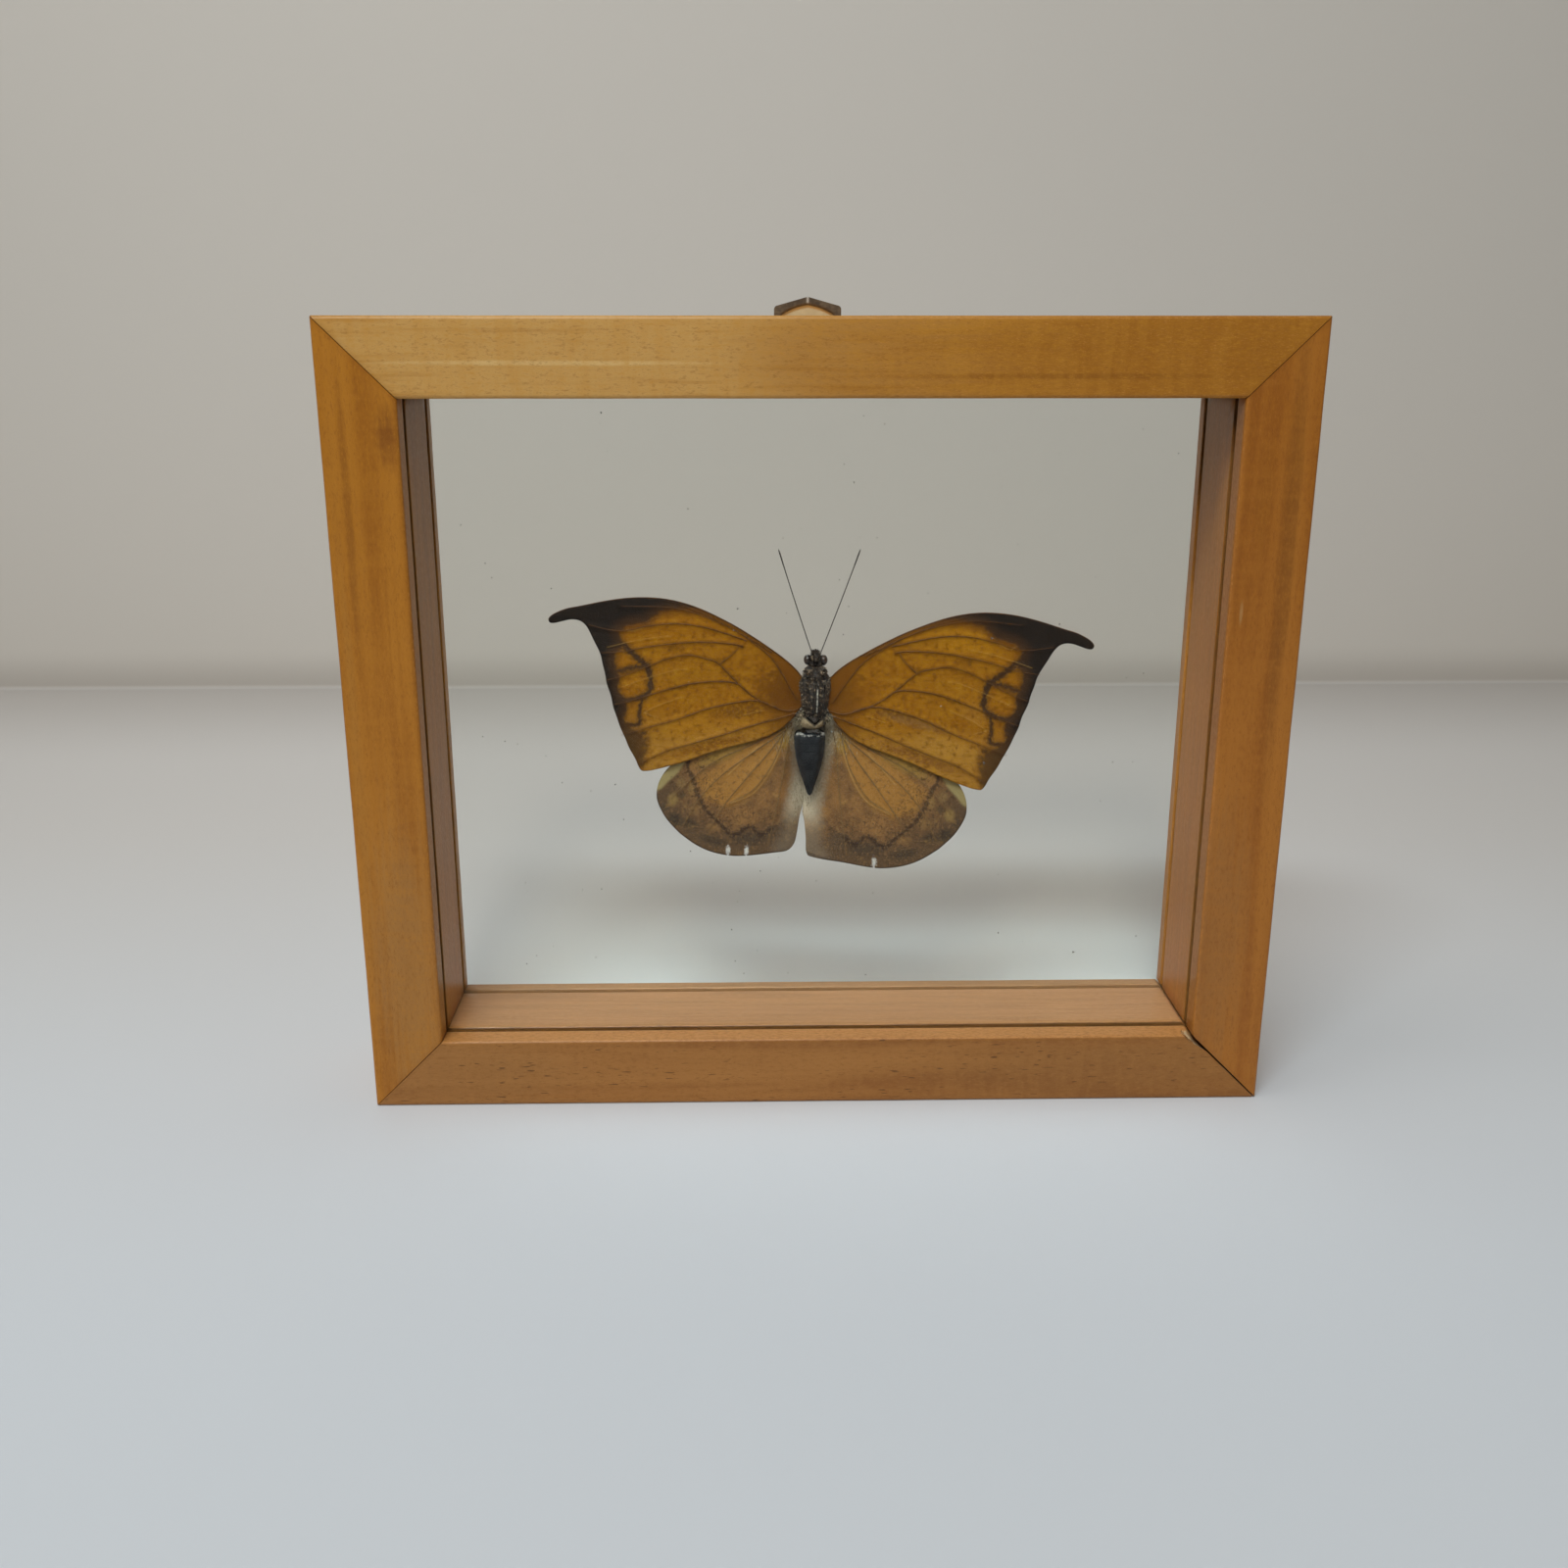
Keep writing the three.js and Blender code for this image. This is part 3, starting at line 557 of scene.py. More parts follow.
def rail_points(length, seed, open_end=False):
    rows = []
    flat = section_inset(section, MITRE_BEVEL)
    share = stations(open_end)
    last = len(share) - 1
    for index, s in enumerate(share):
        outline = flat if index in (0, last) else section
        h = outline[:, 1]
        gap = np.full(len(h), MITRE_GAP)
        if open_end:
            jag = 0.05 * np.sin(h * 7) + 0.09 * np.sign(np.sin(h * 1.9 + 0.6))
            gap = MITRE_GAP + (OPEN_MITRE_GAP - MITRE_GAP) * h / RAIL_FACE + jag * np.clip(h / 3, 0, 1)
        start = -length / 2 + h + MITRE_GAP
        end = length / 2 - h - gap
        if index == 1:
            along = start + MITRE_BEVEL
        elif index == last - 1:
            along = end - MITRE_BEVEL
        else:
            along = start + (end - start) * s
        calm = min(1, min(s, 1 - s) * 12)
        wave = unevenness(along, outline[:, 0] * 0.3 + h * 0.2, seed) * calm
        centre = np.array([0, RAIL_FACE / 2])
        away = outline - centre
        away /= np.linalg.norm(away, axis=1)[:, None]
        moved = outline - np.abs(wave)[:, None] * away
        rows.append(np.column_stack([along, moved]))
    return np.array(rows)


def rail_faces(rows, around):
    """The moulding's faces and the two ends that close it."""
    return ring_faces(rows, around) + [list(range(around)),
                                       list(range((rows - 1) * around, rows * around))[::-1]]


def splintered(rows):
    """Breaks a splinter out of the open mitre. Gives the moved points and where the wood is raw."""
    along, depth, height = rows[..., 0], rows[..., 1], rows[..., 2]
    corner = FRAME_WIDTH / 2 - RAIL_FACE - OPEN_MITRE_GAP
    down = ((along - corner) - (height - RAIL_FACE)) / math.sqrt(2)
    aside = -((along - corner) + (height - RAIL_FACE)) / math.sqrt(2)
    front = np.clip((FRONT_FACE + 2.6 - depth) / 1.5, 0, 1)
    rough = 0.75 + 0.25 * np.sin(along * 11 + depth * 7 + height * 9)
    wedge = 1.15 * np.clip(1 - down / 4.6, 0, 1) * rough
    torn = front * clamp_step(wedge - aside, 0, 0.5) * clamp_step(down, -1.4, -0.4)
    rows[..., 0] = along - 0.3 * torn
    rows[..., 2] = height - 0.3 * torn * np.clip(height, 0, 1)
    rows[..., 1] = depth + 0.6 * torn * rough
    return rows, clamp_step(torn, 0.2, 0.6)


def make_rail(name, length, seed, placed, finish, lip_light_share, open_end=False):
    rows = rail_points(length, seed, open_end)
    raw = np.zeros(rows.shape[:2])
    if open_end:
        rows, raw = splintered(rows)
    count, around = rows.shape[:2]
    rail = make_mesh(name, placed(rows.reshape(-1, 3)), rail_faces(count, around), smooth=False)
    store(rail, "arris", np.tile(arris_wear_and_highlight_line(section), count))
    # The lip's share of painted light.
    store(rail, "lip", lip_light_share * np.tile(lip_face(section), count))
    store(rail, "raw", raw.ravel())
    face_outwards(rail)
    rail.data.materials.append(finish)
    rail.data.shade_smooth()
    rail.data.set_sharp_from_angle(angle=math.radians(38))
    hand_in(rail, "wood", name)
    return rail


def lying(p):
    return p


def hung(p):
    return np.column_stack([-p[:, 0], p[:, 1], FRAME_HEIGHT - p[:, 2]])


def on_left(p):
    return np.column_stack([p[:, 2] - FRAME_WIDTH / 2, p[:, 1], FRAME_HEIGHT / 2 - p[:, 0]])


def on_right(p):
    return np.column_stack([FRAME_WIDTH / 2 - p[:, 2], p[:, 1], FRAME_HEIGHT / 2 + p[:, 0]])

# %% [markdown]
# ## The four rails
# The four rails share one section. What differs is the length, the place, the piece of wood each was
# cut from and how much painted light makes its lip in front of the pane paler, most on the lower rail,
# whose lip faces up. Only the lower rail has an open, splintered mitre, at its right end.

# %% The four rails
# Patches are (centre x and z, reach, colour, share).
BOTTOM_PATCHES = [((48, 5), (34, 8), (0.25, 0.1, 0.02), 0.5), ((-60, 5), (22, 9), (0.37, 0.17, 0.045), 0.5)]
# On the upper rail these patches are painted light: a broad painted sheen over the left half, painted shade
# over the right half with a middle tone between, and a thin painted highlight line on the left and a thin
# painted shade line on the right, where the face seems to change its slope.
TOP_PATCHES_PAINTED_LIGHT = [
    ((-40, 122), (64, 16), (0.66, 0.37, 0.11), 0.95), ((58, 122), (48, 14), (0.36, 0.125, 0.006), 0.75),
    ((-44, 121.3), (30, 0.45), (0.9, 0.64, 0.28), 0.45), ((34, 119.4), (34, 0.5), (0.27, 0.09, 0.004), 0.6),
    ((4, 122), (20, 9), (0.4, 0.15, 0.012), 0.5)]
LEFT_PATCHES = [
    ((-64.9, 110.5), (1.9, 5.5), (0.2, 0.055, 0.004), 0.75),
    ((-71.6, 98), (0.8, 26), (0.24, 0.075, 0.004), 0.5),
    ((-68, 24), (7, 34), (0.42, 0.2, 0.05), 0.7), ((-73.4, 60), (1, 50), (0.46, 0.2, 0.03), 0.4)]
# The first right patch, a narrow dark strip near the outer edge, is painted shade, as if the face rounded
# over there.
RIGHT_PATCHES = [
    ((71.4, 92), (1.7, 40), (0.2, 0.062, 0.004), 0.6), ((66, 30), (6, 30), (0.34, 0.145, 0.035), 0.6),
    ((65.2, 84), (0.35, 2.2), (0.5, 0.28, 0.1), 0.6), ((67.2, 100), (1.6, 12), (0.34, 0.115, 0.008), 0.5)]

bottom_wood = wood_finish("wood_bottom", False, (300, 100, 200), (0.335, 0.128, 0.024), (0.4, 0.205, 0.095),
                          BOTTOM_PATCHES, 0.8, 0.25)
top_wood = wood_finish("wood_top", False, (900, 500, 100), (0.44, 0.175, 0.014), (0.34, 0.15, 0.03),
                       TOP_PATCHES_PAINTED_LIGHT, 0.0, 0.5)
left_wood = wood_finish("wood_left", True, (100, 700, 400), (0.41, 0.142, 0.007), (0.48, 0.19, 0.03),
                        LEFT_PATCHES, 0.0, 0.2)
right_wood = wood_finish("wood_right", True, (500, 200, 800), (0.36, 0.115, 0.008), (0.5, 0.19, 0.035),
                         RIGHT_PATCHES, 0.15, 0.2)
make_rail("rail_bottom", FRAME_WIDTH, 1.0, lying, bottom_wood, 1.0, open_end=True)
make_rail("rail_top", FRAME_WIDTH, 2.2, hung, top_wood, 0.0)
make_rail("rail_left", FRAME_HEIGHT, 3.1, on_left, left_wood, 0.2)
make_rail("rail_right", FRAME_HEIGHT, 4.7, on_right, right_wood, 0.4)

# %% [markdown]
# ## Panes
# Each pane is 2 mm float glass with ground edges. It is a real slab with refraction, so things behind
# it shift a little as they do in the photograph. Cycles would block lamp light at glass, so lamp rays
# pass straight through instead. A few specks of dust lie on the panes.

# %% Glass finish
PANE_CLEARANCE = 0.5
PANE_BEVEL = 0.25


def glass_finish():
    finish, tree, shader = new_finish("pane_glass", {
        "Base Color": (0.955, 0.965, 0.955, 1), "Roughness": 0.0, "IOR": 1.5, "Transmission Weight": 1.0,
        "Specular Tint": (0.06, 0.06, 0.06, 1)})
    clear = add(tree, "ShaderNodeBsdfTransparent", {"Color": (0.93, 0.95, 0.94, 1)}).outputs[0]
    lamp_ray = add(tree, "ShaderNodeLightPath").outputs["Is Shadow Ray"]
    both = add(tree, "ShaderNodeMixShader", {0: lamp_ray, 1: shader.outputs[0], 2: clear}).outputs[0]
    tree.links.new(both, tree.nodes["Material Output"].inputs["Surface"])
    return finish


pane_finish = glass_finish()

# %% Cut the panes


def make_pane(name, front):
    opening_width = FRAME_WIDTH - 2 * RAIL_FACE
    opening_height = FRAME_HEIGHT - 2 * RAIL_FACE
    half = opening_width / 2 + KERF_DEPTH - PANE_CLEARANCE
    low = RAIL_FACE - KERF_DEPTH
    high = low + opening_height + 2 * KERF_DEPTH - PANE_CLEARANCE
    loops = []
    back = front + GLASS_THICKNESS
    for y, inset in ((front, PANE_BEVEL), (front + PANE_BEVEL, 0), (back - PANE_BEVEL, 0),
                     (back, PANE_BEVEL)):
        loops += [(-half + inset, y, low + inset), (half - inset, y, low + inset),
                  (half - inset, y, high - inset), (-half + inset, y, high - inset)]
    faces = [(0, 1, 2, 3), (15, 14, 13, 12)]
    for loop in range(3):
        for i in range(4):
            j = (i + 1) % 4
            faces.append((4 * loop + j, 4 * loop + i, 4 * loop + 4 + i, 4 * loop + 4 + j))
    pane = make_mesh(name, loops, faces, smooth=False)
    face_outwards(pane)
    pane.data.materials.append(pane_finish)
    hand_in(pane, "pane_glass", name)
    return pane


make_pane("glass_front", FRONT_KERF)
make_pane("glass_back", BACK_KERF)

# %% [markdown]
# ## Geometry Nodes that several pieces share
# Two trees do most of the fine work. The first turns a line of edges into a round tube whose radius
# is stored on the line, for veins, antennae and legs. The second sows small spikes over a surface,
# for hair, spines and dust. Both end in Realize Instances and Set Material, and the result is kept as
# a plain mesh.

# %% Geometry Nodes helpers


def socket_names(tree):
    return {item.name: item.identifier for item in tree.interface.items_tree
            if item.item_type == "SOCKET" and item.in_out == "INPUT"}


def new_tree(name, sizes):
    tree = bpy.data.node_groups.new(name, "GeometryNodeTree")
    tree.interface.new_socket("Geometry", in_out="INPUT", socket_type="NodeSocketGeometry")
    for label, kind, value in sizes:
        made = tree.interface.new_socket(label, in_out="INPUT", socket_type=kind)
        if value is not None:
            made.default_value = value
    tree.interface.new_socket("Geometry", in_out="OUTPUT", socket_type="NodeSocketGeometry")
    start = tree.nodes.new("NodeGroupInput").outputs
    end = tree.nodes.new("NodeGroupOutput").inputs[0]
    return tree, start, end


def finish_tree(tree, shape, finish, end):
    real = add(tree, "GeometryNodeRealizeInstances", {"Geometry": shape}).outputs[0]
    smooth = add(tree, "GeometryNodeSetShadeSmooth", {"Geometry": real}).outputs[0]
    dressed = add(tree, "GeometryNodeSetMaterial", {"Geometry": smooth, "Material": finish}).outputs[0]
    tree.links.new(dressed, end)


def grow(base, tree, name, **sizes):
    """Runs a tree on an object and gives back the plain mesh that it makes."""
    modifier = base.modifiers.new("grow", "NODES")
    modifier.node_group = tree
    names = socket_names(tree)
    for label, value in sizes.items():
        modifier[names[label.replace("_", " ").capitalize()]] = value
    return evaluated(base, name)


# %% Tube tree


def tube_tree():
    tree, start, end = new_tree("tubes_along_lines", [
        ("Thickness", "NodeSocketFloat", 1.0), ("Sides", "NodeSocketInt", 8),
        ("Finish", "NodeSocketMaterial", None)])
    line = add(tree, "GeometryNodeMeshToCurve", {"Mesh": start["Geometry"]}).outputs[0]
    radius = add(tree, "GeometryNodeInputNamedAttribute", {"Name": "radius"}, data_type="FLOAT").outputs[0]
    size = calc(tree, "MULTIPLY", radius, start["Thickness"])
    ring = add(tree, "GeometryNodeCurvePrimitiveCircle",
               {"Resolution": start["Sides"], "Radius": 1.0}).outputs[0]
    tube = add(tree, "GeometryNodeCurveToMesh", {
        "Curve": line, "Profile Curve": ring, "Scale": size, "Fill Caps": True}).outputs[0]
    finish_tree(tree, tube, start["Finish"], end)
    return tree


tubes = tube_tree()


def make_tubes(name, lines, finish, sides=8, thickness=1.0):
    """Tubes along lines of (x, y, z, radius) points in millimetres."""
    points, edges = [], []
    for line in lines:
        first = len(points)
        points += [tuple(p) for p in line]
        edges += [(first + i, first + i + 1) for i in range(len(line) - 1)]
    points = np.array(points, float)
    mesh = bpy.data.meshes.new(name)
    mesh.from_pydata((points[:, :3] * MM).tolist(), edges, [])
    base = bpy.data.objects.new(name, mesh)
    bpy.context.scene.collection.objects.link(base)
    store(base, "radius", points[:, 3] * MM)
    return grow(base, tubes, name, finish=finish, sides=sides, thickness=thickness)


# %% Spike tree


def spike_tree():
    tree, start, end = new_tree("spikes_over_a_surface", [
        ("Density", "NodeSocketFloat", 1e6), ("Length", "NodeSocketFloat", 0.5 * MM),
        ("Radius", "NodeSocketFloat", 0.02 * MM), ("Lean", "NodeSocketVector", (0, 0, 0)),
        ("Wildness", "NodeSocketFloat", 0.5), ("Bend", "NodeSocketFloat", 0.3),
        ("Seed", "NodeSocketInt", 1), ("Finish", "NodeSocketMaterial", None)])
    cover = add(tree, "GeometryNodeInputNamedAttribute", {"Name": "cover"}, data_type="FLOAT").outputs[0]
    density = calc(tree, "MULTIPLY", start["Density"], cover)
    sown = add(tree, "GeometryNodeDistributePointsOnFaces", {
        "Mesh": start["Geometry"], "Density": density, "Seed": start["Seed"]})
    spike = add(tree, "GeometryNodeMeshCone", {
        "Vertices": 3, "Side Segments": 3, "Radius Top": 0.0, "Radius Bottom": start["Radius"],
        "Depth": start["Length"]}).outputs[0]
    here = add(tree, "GeometryNodeInputPosition").outputs[0]
    up = add(tree, "ShaderNodeSeparateXYZ", {0: here}).outputs[2]
    share = calc(tree, "DIVIDE", up, start["Length"])
    square = calc(tree, "MULTIPLY", share, share)
    drawn = calc(tree, "MULTIPLY", square, start["Bend"])
    aside = calc(tree, "MULTIPLY", drawn, start["Length"])
    offset = add(tree, "ShaderNodeCombineXYZ", {0: aside}).outputs[0]
    bent = add(tree, "GeometryNodeSetPosition", {"Geometry": spike, "Offset": offset}).outputs[0]
    wild = add(tree, "FunctionNodeRandomValue", {
        "Min": (-1, -1, -1), "Max": (1, 1, 1), "Seed": start["Seed"]}, data_type="FLOAT_VECTOR").outputs[0]
    shaken = add(tree, "ShaderNodeVectorMath", {0: wild}, operation="SCALE")
    tree.links.new(start["Wildness"], shaken.inputs["Scale"])
    lean = {0: sown.outputs["Normal"], 1: start["Lean"]}
    leaning = add(tree, "ShaderNodeVectorMath", lean, operation="ADD").outputs[0]
    way = add(tree, "ShaderNodeVectorMath", {0: leaning, 1: shaken.outputs[0]}, operation="ADD").outputs[0]
    turned = add(tree, "FunctionNodeAlignRotationToVector", {"Vector": way}, axis="Z").outputs[0]
    spread = {2: 0.55, 3: 1.25, "Seed": start["Seed"]}
    size = add(tree, "FunctionNodeRandomValue", spread, data_type="FLOAT").outputs[1]
    placed = add(tree, "GeometryNodeInstanceOnPoints", {
        "Points": sown.outputs["Points"], "Instance": bent, "Rotation": turned, "Scale": size}).outputs[0]
    finish_tree(tree, placed, start["Finish"], end)
    return tree


spikes = spike_tree()


def sow_spikes(name, skin, cover, finish, **sizes):
    """Spikes over a copy of the skin's mesh, where cover says how thickly, from 0 to 1."""
    base = bpy.data.objects.new(name, skin.data.copy())
    bpy.context.scene.collection.objects.link(base)
    store(base, "cover", cover)
    return grow(base, spikes, name, finish=finish, **sizes)


# %% [markdown]
# ## Dust on the panes
# Dust is what makes clear glass visible. The specks are sown on the panes' faces with the spike tree,
# squat and few.

# %% Dust
dust_finish, dust_nodes, dust_shader = new_finish("pane_dust", {"Roughness": 0.9})
dust_tone = noise(dust_nodes, place_on_piece(dust_nodes), 900.0, 1.0)
dust_colour = lay_over(dust_nodes, ease(dust_nodes, dust_tone, 0.4, 0.6), (0.06, 0.05, 0.04),
                       (0.4, 0.37, 0.32))
dust_nodes.links.new(dust_colour, dust_shader.inputs["Base Color"])


def make_dust(name, depth, seed, density, grain):
    corners = [(-60, depth, 14), (60, depth, 14), (60, depth, 114), (-60, depth, 114)]
    sheet = make_mesh(name, corners, [(0, 1, 2, 3)])
    dust = sow_spikes(name, sheet, np.ones(4), dust_finish, density=density, length=0.1 * MM,
                      radius=grain * MM, wildness=0.5, seed=seed)
    bpy.data.objects.remove(sheet)
    hand_in(dust, "pane_glass")


make_dust("dust_front", FRONT_KERF - 0.02, 3, 5600.0, 0.13)
make_dust("dust_back", BACK_KERF - 0.02, 8, 4200.0, 0.15)
make_dust("specks_front", FRONT_KERF + GLASS_THICKNESS + 0.02, 12, 900.0, 0.24)

# %% [markdown]
# ## The specimen's own frame
# The butterfly hangs a little crooked, turned clockwise by about two degrees. Its pieces are drawn
# upright, with x across, y towards the back pane and z towards the head, and one function puts them
# in the row's frame.

# %% Place of the specimen
SPECIMEN = (-0.4, 3.6, 68)
LEAN = math.radians(1.9)


def to_frame(points):
    x, y, z = np.asarray(points, float)[:, :3].T
    c, s = math.cos(LEAN), math.sin(LEAN)
    return np.column_stack([x * c + z * s + SPECIMEN[0], y + SPECIMEN[1], z * c - x * s + SPECIMEN[2]])


def to_frame_tube(line):
    line = np.asarray(line, float)
    return np.column_stack([to_frame(line), line[:, 3]])


# %% [markdown]
# ## Wing outlines and veins
# A wing is drawn from a few points along its leading edge and its rear edge, and a few
# along each vein, in millimetres from the middle of the thorax. Smooth curves go through them. The
# right side is drawn, and the left is its mirror image, set a little smaller and higher.

# %% Curves
FOREWING_COSTA = [
    (1.2, -0.6), (2.4, 2.4), (4.6, 4.7), (8.4, 7.3), (12, 9.4), (16, 11.4), (20.2, 13.1), (24, 14.1),
    (28, 14.5),
    (32.2, 14.2), (36.5, 13.3), (41, 12), (43.1, 11.4), (44.8, 10.6), (45.8, 9.9), (46.2, 9.3)]
FOREWING_REAR = [
    (1.2, -0.6), (3.2, -4.4), (6.1, -7.3), (9.2, -8.9), (13.3, -10.3), (17.4, -11.8), (21.2, -13.5),
    (26, -15.3), (28.2, -15.9), (29.2, -15.7), (30.3, -13.8), (31.7, -11.3), (33, -8.6), (34.1, -6),
    (34.9, -3.4),
    (35.8, -0.8), (36.5, 1.9), (37.2, 4.2), (38.4, 6.5), (39.6, 8.6), (40.8, 9.5), (42.3, 9.6), (44, 9.1),
    (45.3, 8.7), (46, 8.8), (46.2, 9.3)]
HINDWING_COSTA = [
    (1.4, -3.6), (6, -5.4), (12, -7.4), (18, -9.8), (22.2, -12.4), (24.9, -14.9), (26.4, -17.5),
    (26.8, -20), (26.3, -22), (24.8, -24.5), (22.4, -27)]
HINDWING_HEM = [(5.5, -30), (10.4, -30.7), (13.4, -30.8), (16.6, -30.2), (19.6, -28.9), (22.4, -27)]
INNER_MARGIN = {
    "right": [(1.4, -3.6), (1, -6.5), (0.1, -10), (-0.6, -15), (-1.1, -19), (-1.2, -21.6), (-0.8, -23.8),
              (-0.5, -26.4), (-0.3, -28.9), (0.8, -29.7)],
    "left": [(1.4, -3.6), (1, -6.5), (0, -10), (-0.3, -15), (0.2, -19), (0.7, -21.6), (1.1, -23.7),
             (1.4, -26.4), (1.8, -28.4), (3, -29.6)]}
FOREWING_VEINS = {
    "radius": [(3, -1.6), (4.4, 0.6), (5.8, 2.8), (8.5, 6.1), (14.3, 9.9), (20.3, 12.2), (26, 13.1),
               (34, 12.6)],
    "first_radial": [(8, 6.6), (12, 8.8), (16, 10.7), (20.4, 12.6), (24, 13.6)],
    "second_radial": [(12.4, 8.4), (14.4, 8.9), (16.2, 9.4), (20.4, 10.3), (24.9, 10.4), (29.5, 9.6),
                      (34, 8.4), (39.4, 9)],
    "third_radial": [(13, 7.3), (14.5, 7.6), (17.5, 7.7), (21.2, 7.5), (25.2, 6.9), (29.8, 5.9),
                     (33.2, 4.9), (37.4, 4.3)],
    "median": [(2.6, -3), (5.2, -3.4), (9.8, -1.7), (13.3, 0.8), (16.8, 4), (19.2, 4.8), (22.2, 5.2),
               (25.3, 4.4), (28.5, 2.9), (32.6, 0.9), (36, -0.4)],
    "first_cubital": [(12.9, 0.6), (14.6, 1), (17.9, 0.9), (21.6, 0.2), (25.7, -1.2), (30.4, -3.1),
                      (34.6, -4.6)],
    "second_cubital": [(6.4, -2.9), (9.8, -2), (13.5, -2.5), (18.2, -3.9), (22.9, -6), (29.3, -8.4),
                       (32.8, -9.8)],
    "anal": [(3, -3.8), (5.3, -4.6), (10.6, -6.5), (15.4, -8.4), (20.1, -10.2), (24.9, -12), (29.1, -14.5)],
    "cross": [(16.6, 4.1), (15.4, 5.2), (14.2, 6.4), (13.6, 7.5)]}
FOREWING_CREASES = [
    [(22.1, 2.7), (23.9, 2.5), (28, 1), (33.1, -1.3)], [(22.7, -2.2), (26.2, -3.7), (29.1, -5.4)],
    [(8.7, -3.6), (12.1, -4.7)], [(27, -6.1), (29.1, -5.5)], [(30.1, 9.3), (32, 8.4), (32.9, 8.9)],
    [(25, 8.3), (30, 7.3), (36, 5.4)]]
HINDWING_VEINS = {
    "costal": [(3.4, -5.6), (6, -7.4), (10.3, -9.9), (16, -12.8), (20.4, -16.4), (24.2, -20.6)],
    "upper": [(3.6, -6), (5.5, -7.8), (10.3, -11.5), (15.1, -15.5), (19, -20), (21.8, -25.4)],
    "middle": [(3.6, -6.4), (4.6, -7.2), (7.6, -11.6), (11.4, -16.6), (15.2, -22), (17.4, -27)],
    "fork": [(3.6, -6.6), (4.5, -6.8), (5.9, -11.6), (7, -14.1), (9.7, -18.2), (13.9, -20.9)],
    "inner": [(3.4, -6.8), (4.2, -11), (4.8, -17), (5.6, -23), (6.6, -28.6)]}


def smooth_line(points, spacing):
    """A Catmull-Rom curve through the points, with corners of equal spacing."""
    given = np.asarray(points, float)
    padded = np.vstack([given[:1], given, given[-1:]])
    fine = []
    for before, start, end, after in zip(padded, padded[1:], padded[2:], padded[3:]):
        leave, arrive = (end - before) / 2, (after - start) / 2
        for t in np.linspace(0, 1, 12, endpoint=False):
            fine.append(start + leave * t + (3 * (end - start) - 2 * leave - arrive) * t ** 2
                        + (2 * (start - end) + leave + arrive) * t ** 3)
    fine.append(given[-1])
    fine = np.array(fine)
    along = np.r_[0, np.cumsum(np.linalg.norm(np.diff(fine, axis=0), axis=1))]
    count = max(3, int(round(along[-1] / spacing)) + 1)
    wanted = np.linspace(0, along[-1], count)
    return np.column_stack([np.interp(wanted, along, column) for column in fine.T])

# %% [markdown]
# ## Distances
# Outlines, markings and hair all ask how far a point is from a drawn line, and on which side of a
# closed outline it lies. These few functions answer for all points of a mesh at once.

# %% Distances


def distance_to_line(points, line):
    """Shortest distance from each point to a drawn line, both in [x, z]."""
    best = np.full(len(points), 1e9)
    for a, b in zip(line[:-1], line[1:]):
        way = b - a
        share = np.clip(((points - a) @ way) / max(way @ way, 1e-12), 0, 1)
        best = np.minimum(best, np.linalg.norm(points - a - share[:, None] * way, axis=1))
    return best


def is_inside(points, outline):
    x, z = points.T
    inside = np.zeros(len(points), bool)
    for (ax, az), (bx, bz) in zip(outline, np.roll(outline, -1, 0)):
        crosses = (az > z) != (bz > z)
        with np.errstate(divide="ignore", invalid="ignore"):
            left = x < (bx - ax) * (z - az) / (bz - az) + ax
        inside ^= crosses & left
    return inside


def signed_distance(points, outline):
    """Distance to a closed outline, below zero inside it."""
    closed = np.vstack([outline, outline[:1]])
    return np.where(is_inside(points, outline), -1, 1) * distance_to_line(points, closed)


def nearest(points, lines, spacing=0.8):
    return np.min([distance_to_line(points, smooth_line(line, spacing)) for line in lines], axis=0)

# %% [markdown]
# ## Thin sheets
# A wing and the hanger plate are both thin sheets with a drawn outline. The outline is filled with an
# even lattice of points and triangulated, once for the front and once for the back, and a narrow wall
# joins the two all round. A tear or a hole is then simply part of the outline, with real edges.

# %% Thin sheets


def lattice(outline, spacing):
    """Points in even rows inside the outline, none close to its edge."""
    low, high = outline.min(0), outline.max(0)
    rows = []
    for row, z in enumerate(np.arange(low[1], high[1], spacing * 0.866)):
        x = np.arange(low[0], high[0], spacing) + (row % 2) * spacing / 2
        rows.append(np.column_stack([x, np.full(len(x), z)]))
    grid = np.vstack(rows)
    return grid[signed_distance(grid, outline) < -0.55 * spacing]


def thin_sheet(name, outline, front, back, spacing, placed, holes=()):
    """A closed thin sheet from an outline in [x, z]. Gives the object and its flat drawing points."""
    inner = lattice(outline, spacing)
    for hole in holes:
        inner = inner[signed_distance(inner, hole) > 0.5 * spacing]
    flat, edges = [], []
    for loop in (outline, *holes):
        first = sum(len(part) for part in flat)
        flat.append(loop)
        edges += [(first + i, first + (i + 1) % len(loop)) for i in range(len(loop))]
    flat = np.vstack([*flat, inner])
    corners, _, faces, _, _, _ = delaunay_2d_cdt([Vector(p) for p in flat], edges, [], 1, 1e-5)
    drawn = np.array([tuple(c) for c in corners])
    faces = np.array([tuple(f) for f in faces])
    middles = drawn[faces].mean(1)
    for hole in holes:
        outside = ~is_inside(middles, hole)
        faces, middles = faces[outside], middles[outside]
    sides = {(a, b) for f in faces.tolist() for a, b in zip(f, f[1:] + f[:1])}
    rim = [(a, b) for a, b in sides if (b, a) not in sides]
    count = len(drawn)
    points = np.vstack([np.column_stack([drawn[:, 0], front(drawn), drawn[:, 1]]),
                        np.column_stack([drawn[:, 0], back(drawn), drawn[:, 1]])])
    shell = faces.tolist() + (faces[:, ::-1] + count).tolist() + [
        (b, a, a + count, b + count) for a, b in rim]
    sheet = make_mesh(name, placed(points), shell)
    face_outwards(sheet)
    return sheet, np.vstack([drawn, drawn])

